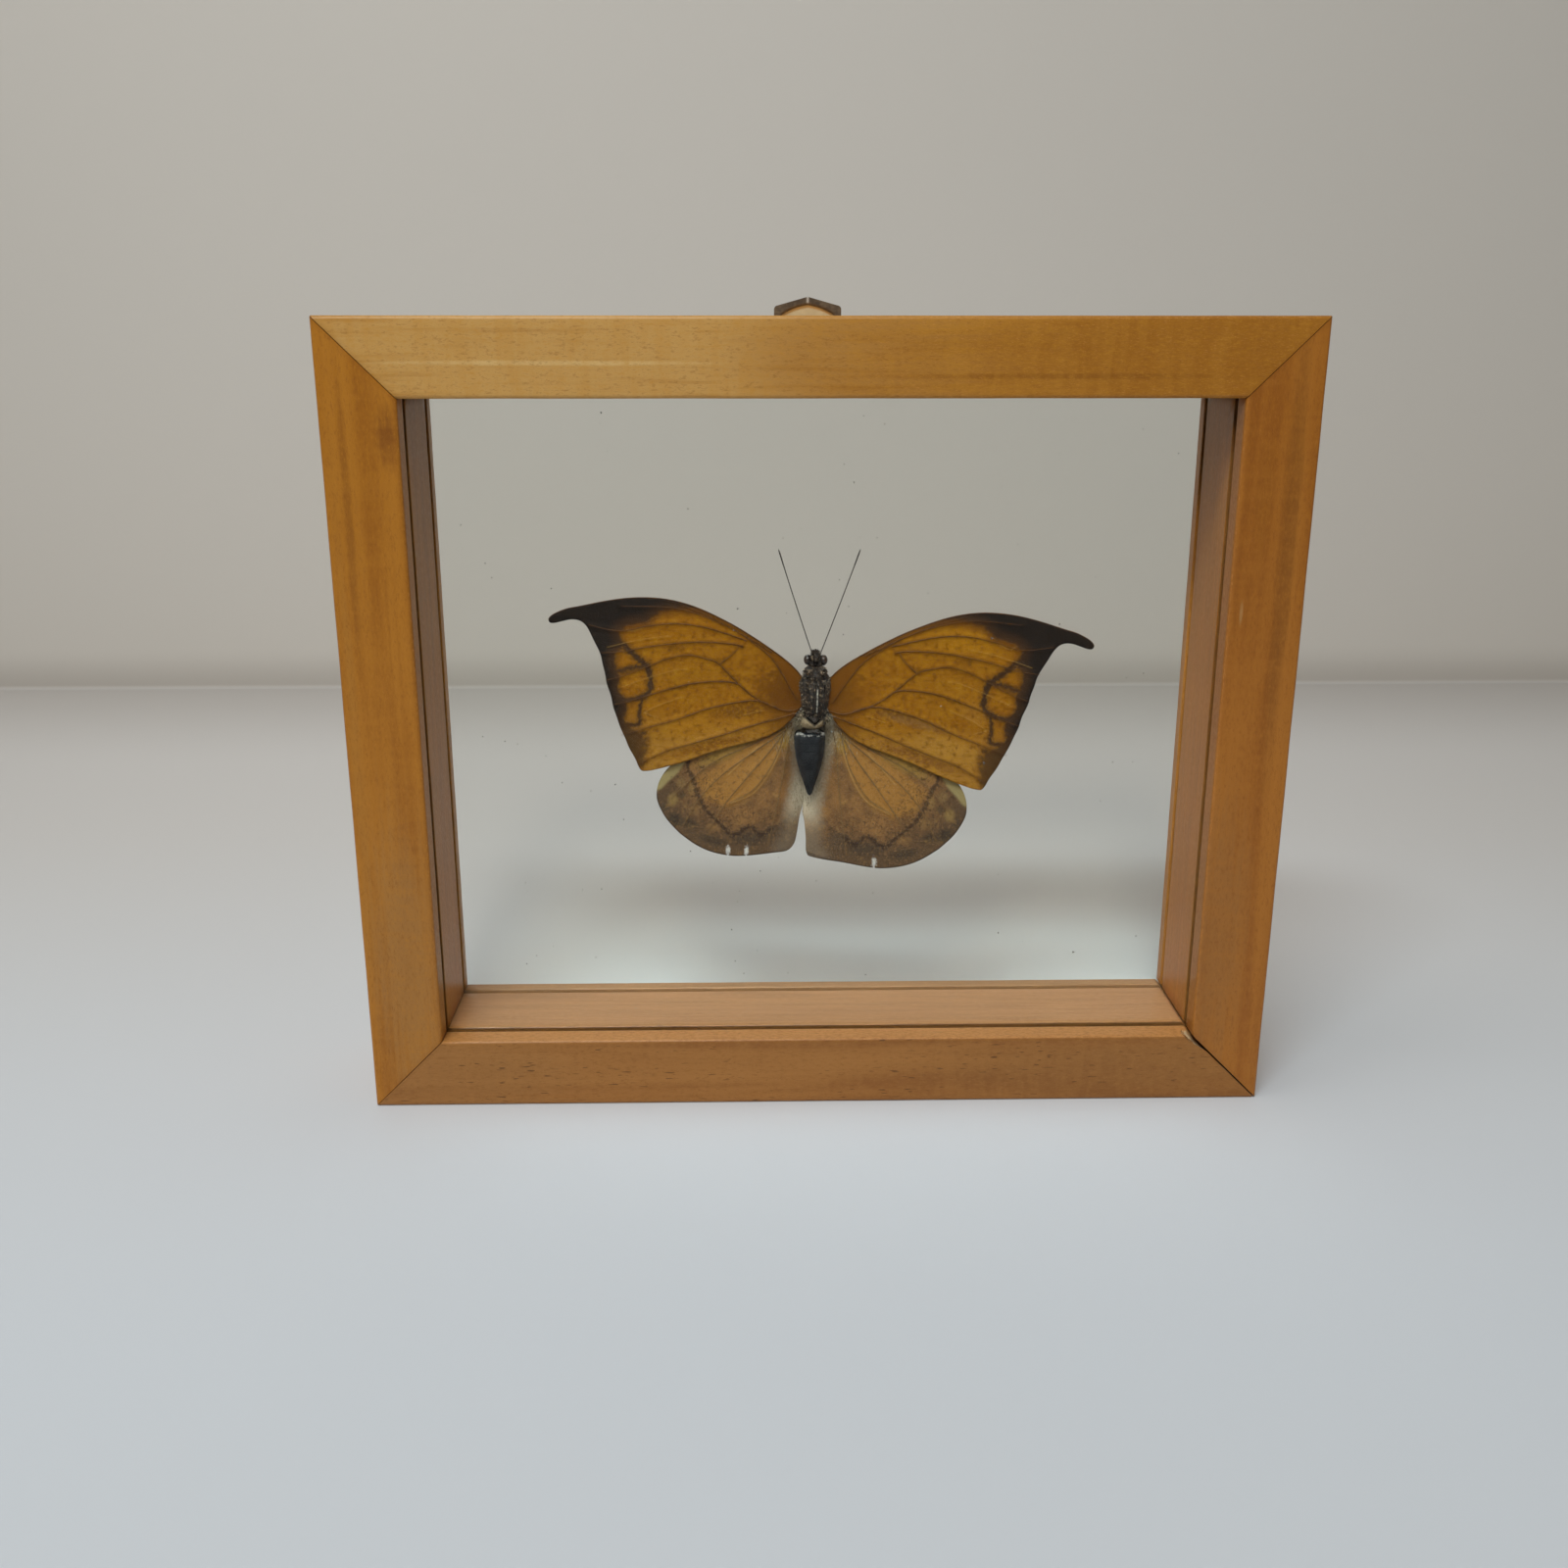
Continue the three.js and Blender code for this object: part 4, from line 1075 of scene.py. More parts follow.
# %% [markdown]
# ## Wing membranes
# A wing is a thin dry skin that arches a little towards the viewer. It lies in low pleats along its
# veins, and the inner margin of a hind wing folds back round the abdomen. The height of each point over
# the flat drawing is a sum of these, so one function gives it.

# %% Membrane
WING_SPACING = 0.24
WING_SHEET = 0.1
WING_REACH = 46
WING_ARCH = 1.1


def forewing_height(x):
    return -0.4 - WING_ARCH * np.sin(np.pi * np.clip(x / WING_REACH, 0, 1))


def hindwing_height(x, z):
    started = 1 - clamp_step(z, -7.5, -4)
    relaxed = 0.4 + 0.6 * clamp_step(z, -28, -16)
    fold = 2.9 * started * relaxed * np.exp(-(np.maximum(x, 0) / 3) ** 2)
    return 0.35 - WING_ARCH * np.sin(np.pi * np.clip(x / WING_REACH, 0, 1)) + fold


def pleats(points, veins, creases=()):
    """Low ridges along the veins and creases, and a slow sag between them."""
    height = -0.11 * np.exp(-(nearest(points, veins) / 0.5) ** 2)
    if len(creases):
        height -= 0.05 * np.exp(-(nearest(points, creases) / 0.25) ** 2)
    x, z = points.T
    return height + 0.07 * np.sin(x * 0.55 + z * 0.3) * np.cos(z * 0.45 - x * 0.1)


def set_wing(points, mirrored, turn, size):
    x, y, z = np.asarray(points, float)[:, :3].T
    x, z = x * size, z * size
    c, s = math.cos(math.radians(turn)), math.sin(math.radians(turn))
    x, z = x * c - z * s, x * s + z * c
    return to_frame(np.column_stack([-x if mirrored else x, y, z]))


def make_membrane(name, outline, height, settings):
    def half(p):
        edge = distance_to_line(p, np.vstack([outline, outline[:1]]))
        return WING_SHEET / 2 * (0.4 + 0.6 * clamp_step(edge, 0, 0.5))

    wing, drawn = thin_sheet(name, outline, lambda p: height(p) - half(p), lambda p: height(p) + half(p),
                             WING_SPACING, lambda p: set_wing(p, *settings))
    store(wing, "across", drawn[:, 0])
    store(wing, "along", drawn[:, 1])
    return wing, drawn

# %% [markdown]
# ## Wing markings
# On the real wing the pattern is laid down by scales, cell by cell, and follows the veins. Each
# marking is drawn as a line or an outline in millimetres. Every point of the mesh stores how
# far it is from the marking, and the finish turns that distance into colour, with noise as fine as
# the scales so that no edge is smooth. Soft clouds of colour are oval patches.

# %% Forewing markings
DARK_BORDER = [
    (20.2, 14.8), (20.6, 13.4), (23.2, 13.2), (25.3, 12.9), (27.2, 12.3), (28.6, 11.2), (29.5, 10.2),
    (31.3, 9.9),
    (32.9, 9.4), (34.2, 8.2), (33.7, 6.9), (33, 5.8), (34.4, 4.8), (34.6, 3.1), (34.1, 1.5), (33.7, 0.6),
    (33.8, -1.3), (33.2, -2.7), (32.3, -3.5), (32.1, -5.1), (32.6, -6.7), (32, -7.7), (30.8, -8.7),
    (29.3, -9.2),
    (28.8, -10.9), (28.7, -12.9), (28.6, -14.2), (29.2, -15.6), (29.3, -17), (40, -10), (50, 4), (50, 18),
    (26, 18)]
# Lines of the dark chain, each with its half width.
DARK_CHAIN = [
    (0.48, [(33.4, 6.2), (31.1, 4.3), (30, 3.4), (28.8, 2.7)]), (0.52, [(29.1, 2.9), (28.6, 1.8)]),
    (0.4, [(28.8, 1.7), (28.3, 0.4), (28.2, -1), (29.2, -2.7)]), (0.5, [(28.4, 0), (28.2, -1)]),
    (0.34, [(28.8, 2.7), (31, 2.4), (32.8, 1.8), (34.3, 1.3)]),
    (0.36, [(28.8, -2.1), (30.4, -3), (32.3, -3.5), (33.4, -2.9)]),
    (0.28, [(29.2, -2.7), (29.8, -4.2), (29.9, -5.8), (29.8, -7.4)]),
    (0.36, [(29.7, -7), (30.2, -7.8), (32.2, -7.9)]),
    (0.2, [(28.3, -10), (29, -10.6), (28.4, -11.6), (28.8, -12.9)]),
    (0.3, [(28.9, -9), (30, -9.4), (31.5, -9.8)])]
COSTAL_STRIP = [
    (1, -1), (2.4, 2.6), (4.6, 4.9), (8.4, 7.5), (12, 9.7), (16, 11.7), (20.2, 13.4), (24, 14.4),
    (28, 14.8), (30, 13.4), (26, 13.1), (20.3, 12.2), (14.3, 9.9), (8.5, 6.1), (5.6, 2.6), (3.6, -0.6)]


def mark_forewing(wing, drawn):
    border = signed_distance(drawn, np.array(DARK_BORDER))
    chain = np.min([distance_to_line(drawn, smooth_line(line, 0.5)) - width for width, line in DARK_CHAIN],
                   axis=0)
    store(wing, "dark", np.minimum(border, chain))
    store(wing, "border", border)
    store(wing, "vein", nearest(drawn, FOREWING_VEINS.values()))
    store(wing, "crease", nearest(drawn, FOREWING_CREASES))
    store(wing, "strip", signed_distance(drawn, np.array(COSTAL_STRIP)))
    store(wing, "edge", distance_to_line(drawn, smooth_line(FOREWING_COSTA, 0.6)))
    store(wing, "root", np.hypot(drawn[:, 0] - 1, drawn[:, 1] + 3))

# %% Forewing finish
# Patches are (centre, reach, colour, share, turn in degrees).
FOREWING_PATCHES = {
    "right": [
        ((24.5, 9.6), (9, 2.6), (0.52, 0.22, 0.005), 0.7, -6),
        ((8, 1), (6, 4.5), (0.32, 0.11, 0.002), 0.6, 35),
        ((23.4, 1), (6, 2.4), (0.42, 0.17, 0.006), 0.5, -20),
        ((22.3, -8.6), (7, 2.3), (0.52, 0.26, 0.04), 0.7, -16),
        ((27, -2.6), (3.6, 2.2), (0.46, 0.21, 0.03), 0.5, -20),
        ((16.6, -4.4), (7.6, 1.1), (0.24, 0.13, 0.05), 0.6, -13),
        ((13.6, -3.2), (3.4, 0.9), (0.2, 0.09, 0.02), 0.6, -8),
        ((24.8, 6.2), (1.3, 1.5), (0.24, 0.09, 0.003), 0.6, 0),
        ((25.4, 6.2), (0.45, 0.9), (0.13, 0.05, 0.006), 0.6, 15),
        ((19.2, -0.8), (0.8, 0.5), (0.2, 0.075, 0.003), 0.6, 0),
        ((14.9, -0.4), (0.7, 0.5), (0.2, 0.075, 0.003), 0.6, 0),
        ((18, -10.6), (10, 1.1), (0.25, 0.1, 0.02), 0.8, -19)],
    "left": [
        ((24.5, 9.6), (9, 2.6), (0.38, 0.14, 0.002), 0.7, -6),
        ((6.5, 0), (6, 5.5), (0.19, 0.062, 0.002), 0.85, 30),
        ((22, 2), (8, 2.8), (0.36, 0.145, 0.003), 0.6, -12),
        ((21.4, -7.7), (5.6, 2.3), (0.46, 0.19, 0.005), 0.7, -10),
        ((26.6, -8.6), (3, 2.4), (0.38, 0.16, 0.006), 0.5, 0),
        ((12.5, -4), (5.5, 1.4), (0.17, 0.065, 0.008), 0.7, -10),
        ((24.6, 6.2), (1.2, 1.4), (0.22, 0.085, 0.003), 0.5, 0),
        ((25.3, 6.1), (0.4, 0.9), (0.13, 0.05, 0.006), 0.5, 15),
        ((14, 2), (3, 1.2), (0.22, 0.085, 0.003), 0.4, 30),
        ((18, -10.7), (10, 1.0), (0.24, 0.085, 0.006), 0.8, -19)]}


def drawn_place(tree):
    return add(tree, "ShaderNodeCombineXYZ", {0: field(tree, "across"), 1: field(tree, "along")}).outputs[0]


def sheet_shader(tree, shader, colour, glow, share):
    """Light that falls on the back of a wing shows through it."""
    through = add(tree, "ShaderNodeBsdfTranslucent", {"Color": glow}).outputs[0]
    both = add(tree, "ShaderNodeMixShader", {0: share, 1: shader.outputs[0], 2: through}).outputs[0]
    tree.links.new(colour, shader.inputs["Base Color"])
    tree.links.new(both, tree.nodes["Material Output"].inputs["Surface"])


def scale_relief(tree, shader, scales, freckles):
    """The skin of scales scatters light, so the surface is a little rough everywhere."""
    rough = calc(tree, "ADD", calc(tree, "MULTIPLY", scales, 0.5), calc(tree, "MULTIPLY", freckles, 0.5))
    tree.links.new(raised(tree, rough, 0.00016, 0.7), shader.inputs["Normal"])


def forewing_finish(side):
    finish, tree, shader = new_finish(f"forewing_scales_{side}", {
        "Roughness": 0.6, "Specular IOR Level": 0.14, "Sheen Weight": 0.03, "Sheen Roughness": 0.4})
    here = drawn_place(tree)
    scales = noise(tree, here, 5.2, 2.0, 0.75)
    freckles = noise(tree, here, 2.0, 3.0, 0.7)
    streaks = noise(tree, stretched(tree, here, (0.5, 2.6, 1), (0, 0, 0.25)), 1.0, 3.0, 0.65)
    clouds = noise(tree, here, 0.3, 3.0, 0.55)
    colour = lay_over(tree, ease(tree, clouds, 0.35, 0.7), (0.34, 0.125, 0.002), (0.41, 0.163, 0.004))
    colour = layers(tree, colour, [(field(tree, "along"), -4.0, -10.0, 0.6, (0.5, 0.25, 0.045))])
    for centre, reach, shade, share, turn in FOREWING_PATCHES[side]:
        colour = soft_patch(tree, here, colour, centre, reach, shade, share, turn, freckles)
    blotches = noise(tree, here, 0.9, 3.0, 0.6, 0.5)
    strip = lay_over(tree, ease(tree, field(tree, "across"), 12.0, 24.0), (0.2, 0.066, 0.003),
                     (0.08, 0.032, 0.008))
    strip = layers(tree, strip, [(freckles, 0.4, 0.7, 0.5, (0.12, 0.04, 0.003))])
    colour = layers(tree, colour, [
        (blotches, 0.5, 0.68, 0.62, (0.16, 0.056, 0.002)), (blotches, 0.46, 0.3, 0.4, (0.5, 0.24, 0.008)),
        (streaks, 0.48, 0.74, 0.5, (0.19, 0.068, 0.003)), (freckles, 0.54, 0.7, 0.55, (0.56, 0.27, 0.012)),
        (freckles, 0.45, 0.3, 0.6, (0.15, 0.055, 0.003)), (scales, 0.55, 0.75, 0.45, (0.64, 0.33, 0.02)),
        (scales, 0.44, 0.28, 0.4, (0.13, 0.045, 0.003)),
        (field(tree, "root"), 11.0, 1.5, 0.85, (0.13, 0.041, 0.003)),
        (field(tree, "strip"), 0.5, -0.5, 0.85, strip),
        (field(tree, "vein"), 0.6, 0.0, 0.5, (0.12, 0.042, 0.003))])
    inner = calc(tree, "MULTIPLY", ease(tree, field(tree, "border"), 1.9, 0.0, 0, 0.75),
                 ease(tree, field(tree, "along"), 6.5, 9.0, 0.35, 1.0))
    colour = lay_over(tree, inner, colour, (0.14, 0.045, 0.005))
    colour = layers(tree, colour, [(field(tree, "dark"), 1.0, 0.1, 0.35, (0.12, 0.045, 0.006))])
    wander = calc(tree, "ADD", swing(tree, scales, 0.8), swing(tree, freckles, 1.5))
    ragged = calc(tree, "ADD", field(tree, "dark"), wander)
    low_fade = ease(tree, field(tree, "along"), -6.5, -11.0, 1.0, 0.72)
    dark = calc(tree, "MULTIPLY", ease(tree, ragged, 0.36, -0.3), low_fade)
    deep = ease(tree, field(tree, "border"), -0.2, -2.2)
    brown = lay_over(tree, deep, (0.06, 0.028, 0.011), (0.018, 0.012, 0.009))
    brown = layers(tree, brown, [(freckles, 0.5, 0.76, 0.6, (0.085, 0.048, 0.025))])
    colour = lay_over(tree, dark, colour, brown)
    # The golden lines along the creases are a painted highlight on the folds.
    colour = layers(tree, colour, [
        (field(tree, "crease"), 0.13, 0.03, 0.4, (0.7, 0.42, 0.1)),
        (field(tree, "edge"), 0.32, 0.04, 0.75, (0.045, 0.024, 0.014))])
    glow = lay_over(tree, 0.5, colour, (0.85, 0.36, 0.005), "MULTIPLY")
    sheet_shader(tree, shader, colour, glow, 0.16)
    tree.links.new(ease(tree, scales, 0.3, 0.7, 0.5, 0.74), shader.inputs["Roughness"])
    scale_relief(tree, shader, scales, freckles)
    return finish

# %% [markdown]
# ## Hind wings
# The hind wings are ochre near the body and grey-brown towards the hem, with a dark wavy line, a tangle
# of fine dark threads beside it, a cream patch at the outer corner and cream inner margins.

# %% Hindwing markings
DARK_LINE = [
    (21.5, -12.4), (21.6, -15), (20.8, -16), (20.1, -18), (19.2, -20.3), (18, -22.3),
    (16.5, -23.8), (15, -25.1), (13.5, -26.7), (12.5, -26.8), (11, -25.7), (9.7, -25.1),
    (8.2, -26.6), (6.9, -26.2), (6, -25.4)]
CREAM_EDGE = [(21.9, -13.6), (24.6, -14.5), (26.4, -16.9), (27.4, -19.6), (26, -18.9), (24.9, -17.5),
              (23.3, -15.9)]
HINDWING_CREASES = [[(4.2, -7.2), (6, -12.5), (7.4, -15.7), (9.7, -18.9), (13.6, -20.9)],
                    [(9.3, -10.2), (11.9, -13), (14.5, -15.8)]]
OCHRE_FAN = [(4.2, -7.2), (6, -12.5), (7.4, -15.7), (9.7, -18.9), (13.6, -21.4), (17.6, -20.6), (19.6, -17),
             (16, -14), (9, -8.6), (5, -6)]


def mark_hindwing(wing, drawn, side):
    hem = [(26.8, -20), (26.3, -22), (24.8, -24.5), (22.4, -27), *HINDWING_HEM[::-1], (2, -29.5), (-1, -28.8)]
    store(wing, "line", distance_to_line(drawn, smooth_line(DARK_LINE, 0.5)))
    store(wing, "hem", distance_to_line(drawn, smooth_line(hem, 0.8)))
    store(wing, "inner", distance_to_line(drawn, smooth_line(INNER_MARGIN[side], 0.8)))
    store(wing, "cream", signed_distance(drawn, np.array(CREAM_EDGE)))
    store(wing, "fan", signed_distance(drawn, np.array(OCHRE_FAN)))
    store(wing, "vein", nearest(drawn, HINDWING_VEINS.values()))
    store(wing, "crease", nearest(drawn, HINDWING_CREASES))
    store(wing, "root", np.hypot(drawn[:, 0] - 3, drawn[:, 1] + 6.5))
    torn = [np.hypot(drawn[:, 0] - x, (drawn[:, 1] + 29.8) * 0.45) for x, _, _ in NICKS[side]]
    store(wing, "torn", np.min(torn, axis=0))

# %% Hindwing finish
HINDWING_PATCHES = [
    ((15.4, -11.9), (6.4, 1.5), (0.44, 0.26, 0.05), 0.75, -27),
    ((4.6, -8.4), (1.5, 2.6), (0.5, 0.3, 0.04), 0.7, 15),
    ((23.9, -20.8), (1.1, 1.5), (0.46, 0.3, 0.09), 0.6, 0),
    ((22.6, -17.6), (1, 1.4), (0.34, 0.21, 0.08), 0.6, 0),
    ((20.6, -18.6), (0.9, 1.4), (0.42, 0.25, 0.08), 0.6, 0),
    ((19.8, -22.4), (1.7, 1.3), (0.34, 0.19, 0.07), 0.5, 0),
    ((16.4, -25.7), (1.7, 1.1), (0.32, 0.17, 0.06), 0.5, 0),
    ((11, -23.6), (3.4, 1.3), (0.34, 0.17, 0.06), 0.5, 0),
    ((23.4, -24.4), (1.8, 1.5), (0.04, 0.032, 0.026), 0.85, 30),
    ((20.8, -25), (1.8, 1.1), (0.05, 0.038, 0.03), 0.8, 20),
    ((25.2, -22.3), (0.9, 1), (0.07, 0.05, 0.035), 0.7, 0),
    ((22.2, -19.9), (0.9, 0.7), (0.09, 0.06, 0.035), 0.8, 0),
    ((16.4, -28), (3, 1.1), (0.05, 0.04, 0.033), 0.75, 15),
    ((10, -27.4), (4, 1.6), (0.06, 0.045, 0.036), 0.75, 0),
    ((5.3, -26), (2.4, 2), (0.1, 0.07, 0.05), 0.7, 0)]


def hindwing_finish():
    finish, tree, shader = new_finish("hindwing_scales", {
        "Roughness": 0.66, "Specular IOR Level": 0.14, "Sheen Weight": 0.03, "Sheen Roughness": 0.4})
    here = drawn_place(tree)
    scales = noise(tree, here, 5.0, 2.0, 0.75)
    freckles = noise(tree, here, 1.9, 3.0, 0.7)
    clouds = noise(tree, here, 0.28, 4.0, 0.6)
    winding = noise(tree, here, 1.15, 2.0, 0.5, 1.2)
    colour = lay_over(tree, ease(tree, clouds, 0.35, 0.7), (0.23, 0.115, 0.045), (0.34, 0.165, 0.055))
    colour = layers(tree, colour, [(field(tree, "fan"), 0.9, -0.5, 0.85, (0.46, 0.215, 0.045))])
    outside = ease(tree, field(tree, "hem"), 8.5, 1.5)
    colour = lay_over(tree, calc(tree, "MULTIPLY", outside, 0.8), colour, (0.105, 0.066, 0.042))
    for centre, reach, shade, share, turn in HINDWING_PATCHES:
        colour = soft_patch(tree, here, colour, centre, reach, shade, share, turn, freckles)
    thread = ease(tree, calc(tree, "ABSOLUTE", calc(tree, "SUBTRACT", winding, 0.5)), 0.05, 0.008)
    zone = calc(tree, "MULTIPLY", ease(tree, field(tree, "line"), 6.5, 2.5, 0, 0.85),
                ease(tree, freckles, 0.36, 0.52))
    colour = lay_over(tree, calc(tree, "MULTIPLY", thread, zone), colour, (0.06, 0.035, 0.018))
    blotches = noise(tree, here, 0.8, 3.0, 0.6, 0.6)
    colour = layers(tree, colour, [
        (blotches, 0.5, 0.72, 0.5, (0.09, 0.05, 0.025)), (blotches, 0.44, 0.28, 0.4, (0.42, 0.23, 0.07)),
        (freckles, 0.54, 0.72, 0.5, (0.4, 0.23, 0.09)), (freckles, 0.46, 0.3, 0.6, (0.1, 0.055, 0.025)),
        (field(tree, "cream"), 0.3, -0.35, 0.75, (0.46, 0.37, 0.16))])
    from_margin = calc(tree, "ADD", field(tree, "inner"), calc(tree, "MULTIPLY", freckles, 2.0))
    pale = calc(tree, "MULTIPLY", ease(tree, from_margin, 5.2, 2.2, 0, 0.92),
                ease(tree, field(tree, "along"), -25.5, -19.0, 0.12, 1.0))
    colour = lay_over(tree, pale, colour, (0.78, 0.7, 0.54))
    ragged = calc(tree, "ADD", field(tree, "line"), swing(tree, freckles, 2.0))
    frayed = calc(tree, "ADD", field(tree, "torn"), swing(tree, scales, 1.6))
    # The pale lines along the creases are a painted highlight on the folds.
    colour = layers(tree, colour, [
        (scales, 0.52, 0.75, 0.35, (0.5, 0.33, 0.15)), (scales, 0.44, 0.28, 0.35, (0.08, 0.045, 0.02)),
        (field(tree, "vein"), 0.4, 0.0, 0.4, (0.2, 0.11, 0.04)),
        (field(tree, "crease"), 0.2, 0.04, 0.45, (0.6, 0.36, 0.12)),
        (ragged, 0.62, 0.05, 0.75, (0.045, 0.028, 0.02)),
        (field(tree, "hem"), 0.4, 0.05, 0.6, (0.06, 0.045, 0.035)),
        (frayed, 0.42, 0.3, 0.9, (0.8, 0.78, 0.74))])
    glow = lay_over(tree, 0.3, colour, (0.9, 0.55, 0.15), "MULTIPLY")
    sheet_shader(tree, shader, colour, glow, 0.16)
    scale_relief(tree, shader, scales, freckles)
    return finish

# %% [markdown]
# ## Nicks
# The lower hems of the hind wings are torn at three places. Each nick is a ragged notch whose few
# points replace a short stretch of the outline, so the tear has real edges.

# %% Make the wings
WING_SETTINGS = {
    "right": {"fore": (False, 0.0, 1.0), "hind": (False, 0.0, 1.0)},
    "left": {"fore": (True, 2.7, 0.97), "hind": (True, 1.7, 0.96)}}
HEM_LEVEL = -30.75
# Nicks are (x, half width, depth).
NICKS = {
    "right": [(11.4, 0.17, 1.3)],
    "left": [(13.6, 0.13, 1.0), (10.3, 0.09, 0.6)]}
# The ragged shape of a nick, as shares of its half width and of its depth.
NOTCH = [(-1, 0), (-0.7, 0.4), (-0.1, 0.55), (-0.5, 0.95), (0.1, 1), (0.7, 0.6), (0.3, 0.4), (1, 0)]


def nicked(outline, nicks):
    """Cuts ragged notches up into the hem."""
    for x, half, depth in nicks:
        notch = np.array([(x + half * across, HEM_LEVEL + depth * up) for across, up in NOTCH])
        low = outline[:, 1] < -27
        near = low & (np.abs(outline[:, 0] - x) <= half * 1.3)
        first = int(np.flatnonzero(near)[0])
        last = int(np.flatnonzero(near)[-1])
        if outline[first, 0] > outline[last, 0]:
            notch = notch[::-1]
        notch[[0, -1], 1] = (outline[first - 1, 1] + outline[last + 1, 1]) / 2
        outline = np.vstack([outline[:first], notch, outline[last + 1:]])
    return outline


def forewing_outline():
    front = smooth_line(FOREWING_COSTA, WING_SPACING)
    rear = smooth_line(FOREWING_REAR, WING_SPACING)
    scallop = clamp_step(rear[:, 0], 28.5, 30) * (1 - clamp_step(rear[:, 1], 4, 7))
    rear[:, 0] -= 0.04 * (1 + np.sin(rear[:, 1] * 1.75 + 0.5)) * scallop
    return np.vstack([front[:-1], rear[::-1][:-1]])


def hindwing_outline(side):
    front = smooth_line(HINDWING_COSTA, WING_SPACING)
    rear = smooth_line(INNER_MARGIN[side] + HINDWING_HEM, 0.16)
    return nicked(np.vstack([front[:-1], rear[::-1][:-1]]), NICKS[side])


def vein_tubes(veins, height, thick, thin, settings):
    lines = []
    for vein in veins:
        line = smooth_line(vein, 0.35)
        share = np.linspace(0, 1, len(line))
        radius = thick + (thin - thick) * share
        radius *= 1 + 0.1 * np.sin(np.arange(len(line)) * 1.9)
        placed = set_wing(np.column_stack([line[:, 0], height(line) - 0.04, line[:, 1]]), *settings)
        lines.append(np.column_stack([placed, radius]))
    return lines


def vein_finish(name, colour, bright):
    finish, tree, shader = new_finish(name, {"Roughness": 0.5, "Specular IOR Level": 0.25})
    tone = noise(tree, place_on_piece(tree), 2600.0, 2.0)
    tree.links.new(lay_over(tree, ease(tree, tone, 0.35, 0.7), colour, bright), shader.inputs["Base Color"])
    return finish


def fore_height(p):
    return forewing_height(p[:, 0]) + pleats(p, FOREWING_VEINS.values(), FOREWING_CREASES)


def hind_height(p):
    return hindwing_height(p[:, 0], p[:, 1]) + pleats(p, HINDWING_VEINS.values(), HINDWING_CREASES)


def left_hind_height(p):
    """The left hind wing passes just behind the right one where their inner margins overlap."""
    return hind_height(p) + 0.3 * (1 - clamp_step(p[:, 0], 0.6, 2.5)) * (1 - clamp_step(p[:, 1], -12, -8))


hindwing_scales = hindwing_finish()
fore_vein_finish = vein_finish("forewing_vein", (0.075, 0.026, 0.003), (0.19, 0.07, 0.006))
hind_vein_finish = vein_finish("hindwing_vein", (0.14, 0.075, 0.03), (0.26, 0.15, 0.05))
hindwings = {}

for side, settings in WING_SETTINGS.items():
    wing, drawn = make_membrane(f"forewing_{side}", forewing_outline(), fore_height, settings["fore"])
    mark_forewing(wing, drawn)
    wing.data.materials.append(forewing_finish(side))
    hand_in(wing, "forewing", f"forewing_{side}")
    ribs = vein_tubes([*FOREWING_VEINS.values(), FOREWING_COSTA], fore_height, 0.11, 0.035,
                      settings["fore"])
    veins = make_tubes(f"forewing_{side}_veins", ribs, fore_vein_finish, 7)
    hand_in(veins, "forewing")

    lift = left_hind_height if side == "left" else hind_height
    wing, drawn = make_membrane(f"hindwing_{side}", hindwing_outline(side), lift, settings["hind"])
    mark_hindwing(wing, drawn, side)
    wing.data.materials.append(hindwing_scales)
    hand_in(wing, "hindwing", f"hindwing_{side}")
    hindwings[side] = (wing, drawn)
    ribs = vein_tubes(HINDWING_VEINS.values(), lift, 0.1, 0.035, settings["hind"])
    veins = make_tubes(f"hindwing_{side}_veins", ribs, hind_vein_finish, 7)
    hand_in(veins, "hindwing")

# %% [markdown]
# ## Melted lumps
# The thorax and head of a butterfly are lumps that run into each other. Each is made of a few
# ellipsoids melted together by a voxel remesh, then pushed in along its grooves.

# %% Melt ellipsoids together


def melt(name, lumps, voxel, smoothing=4):
    """One skin round several ellipsoids, each (centre, radii) in the specimen's frame."""
    heap = bmesh.new()
    for centre, radii in lumps:
        place = Matrix.Translation(centre) @ Matrix.Diagonal((*radii, 1))
        bmesh.ops.create_icosphere(heap, subdivisions=4, radius=1, matrix=place)
    mesh = bpy.data.meshes.new(name)
    heap.to_mesh(mesh)
    heap.free()
    made = bpy.data.objects.new(name, mesh)
    bpy.context.scene.collection.objects.link(made)
    remesh = made.modifiers.new("melt", "REMESH")
    remesh.mode = "VOXEL"
    remesh.voxel_size = voxel
    soften = made.modifiers.new("soften", "SMOOTH")
    soften.iterations = smoothing
    result = evaluated(made, name)
    flat = np.zeros(len(result.data.vertices) * 3, np.float32)
    result.data.vertices.foreach_get("co", flat)
    return result, flat.reshape(-1, 3).astype(float)


def settle(made, points):
    """Moves a piece drawn in the specimen's frame to its place in the row's frame."""
    move_points(made, to_frame(points))
    made.data.shade_smooth()


# %% [markdown]
# ## Thorax
# The back of the thorax has a seam down its middle, bare glossy streaks beside it, a collar in front and
# a dark notched shield behind with a pale patch below it. The grooves are pressed into the mesh, and
# what is only colour or gloss is stored on its points for the finish.

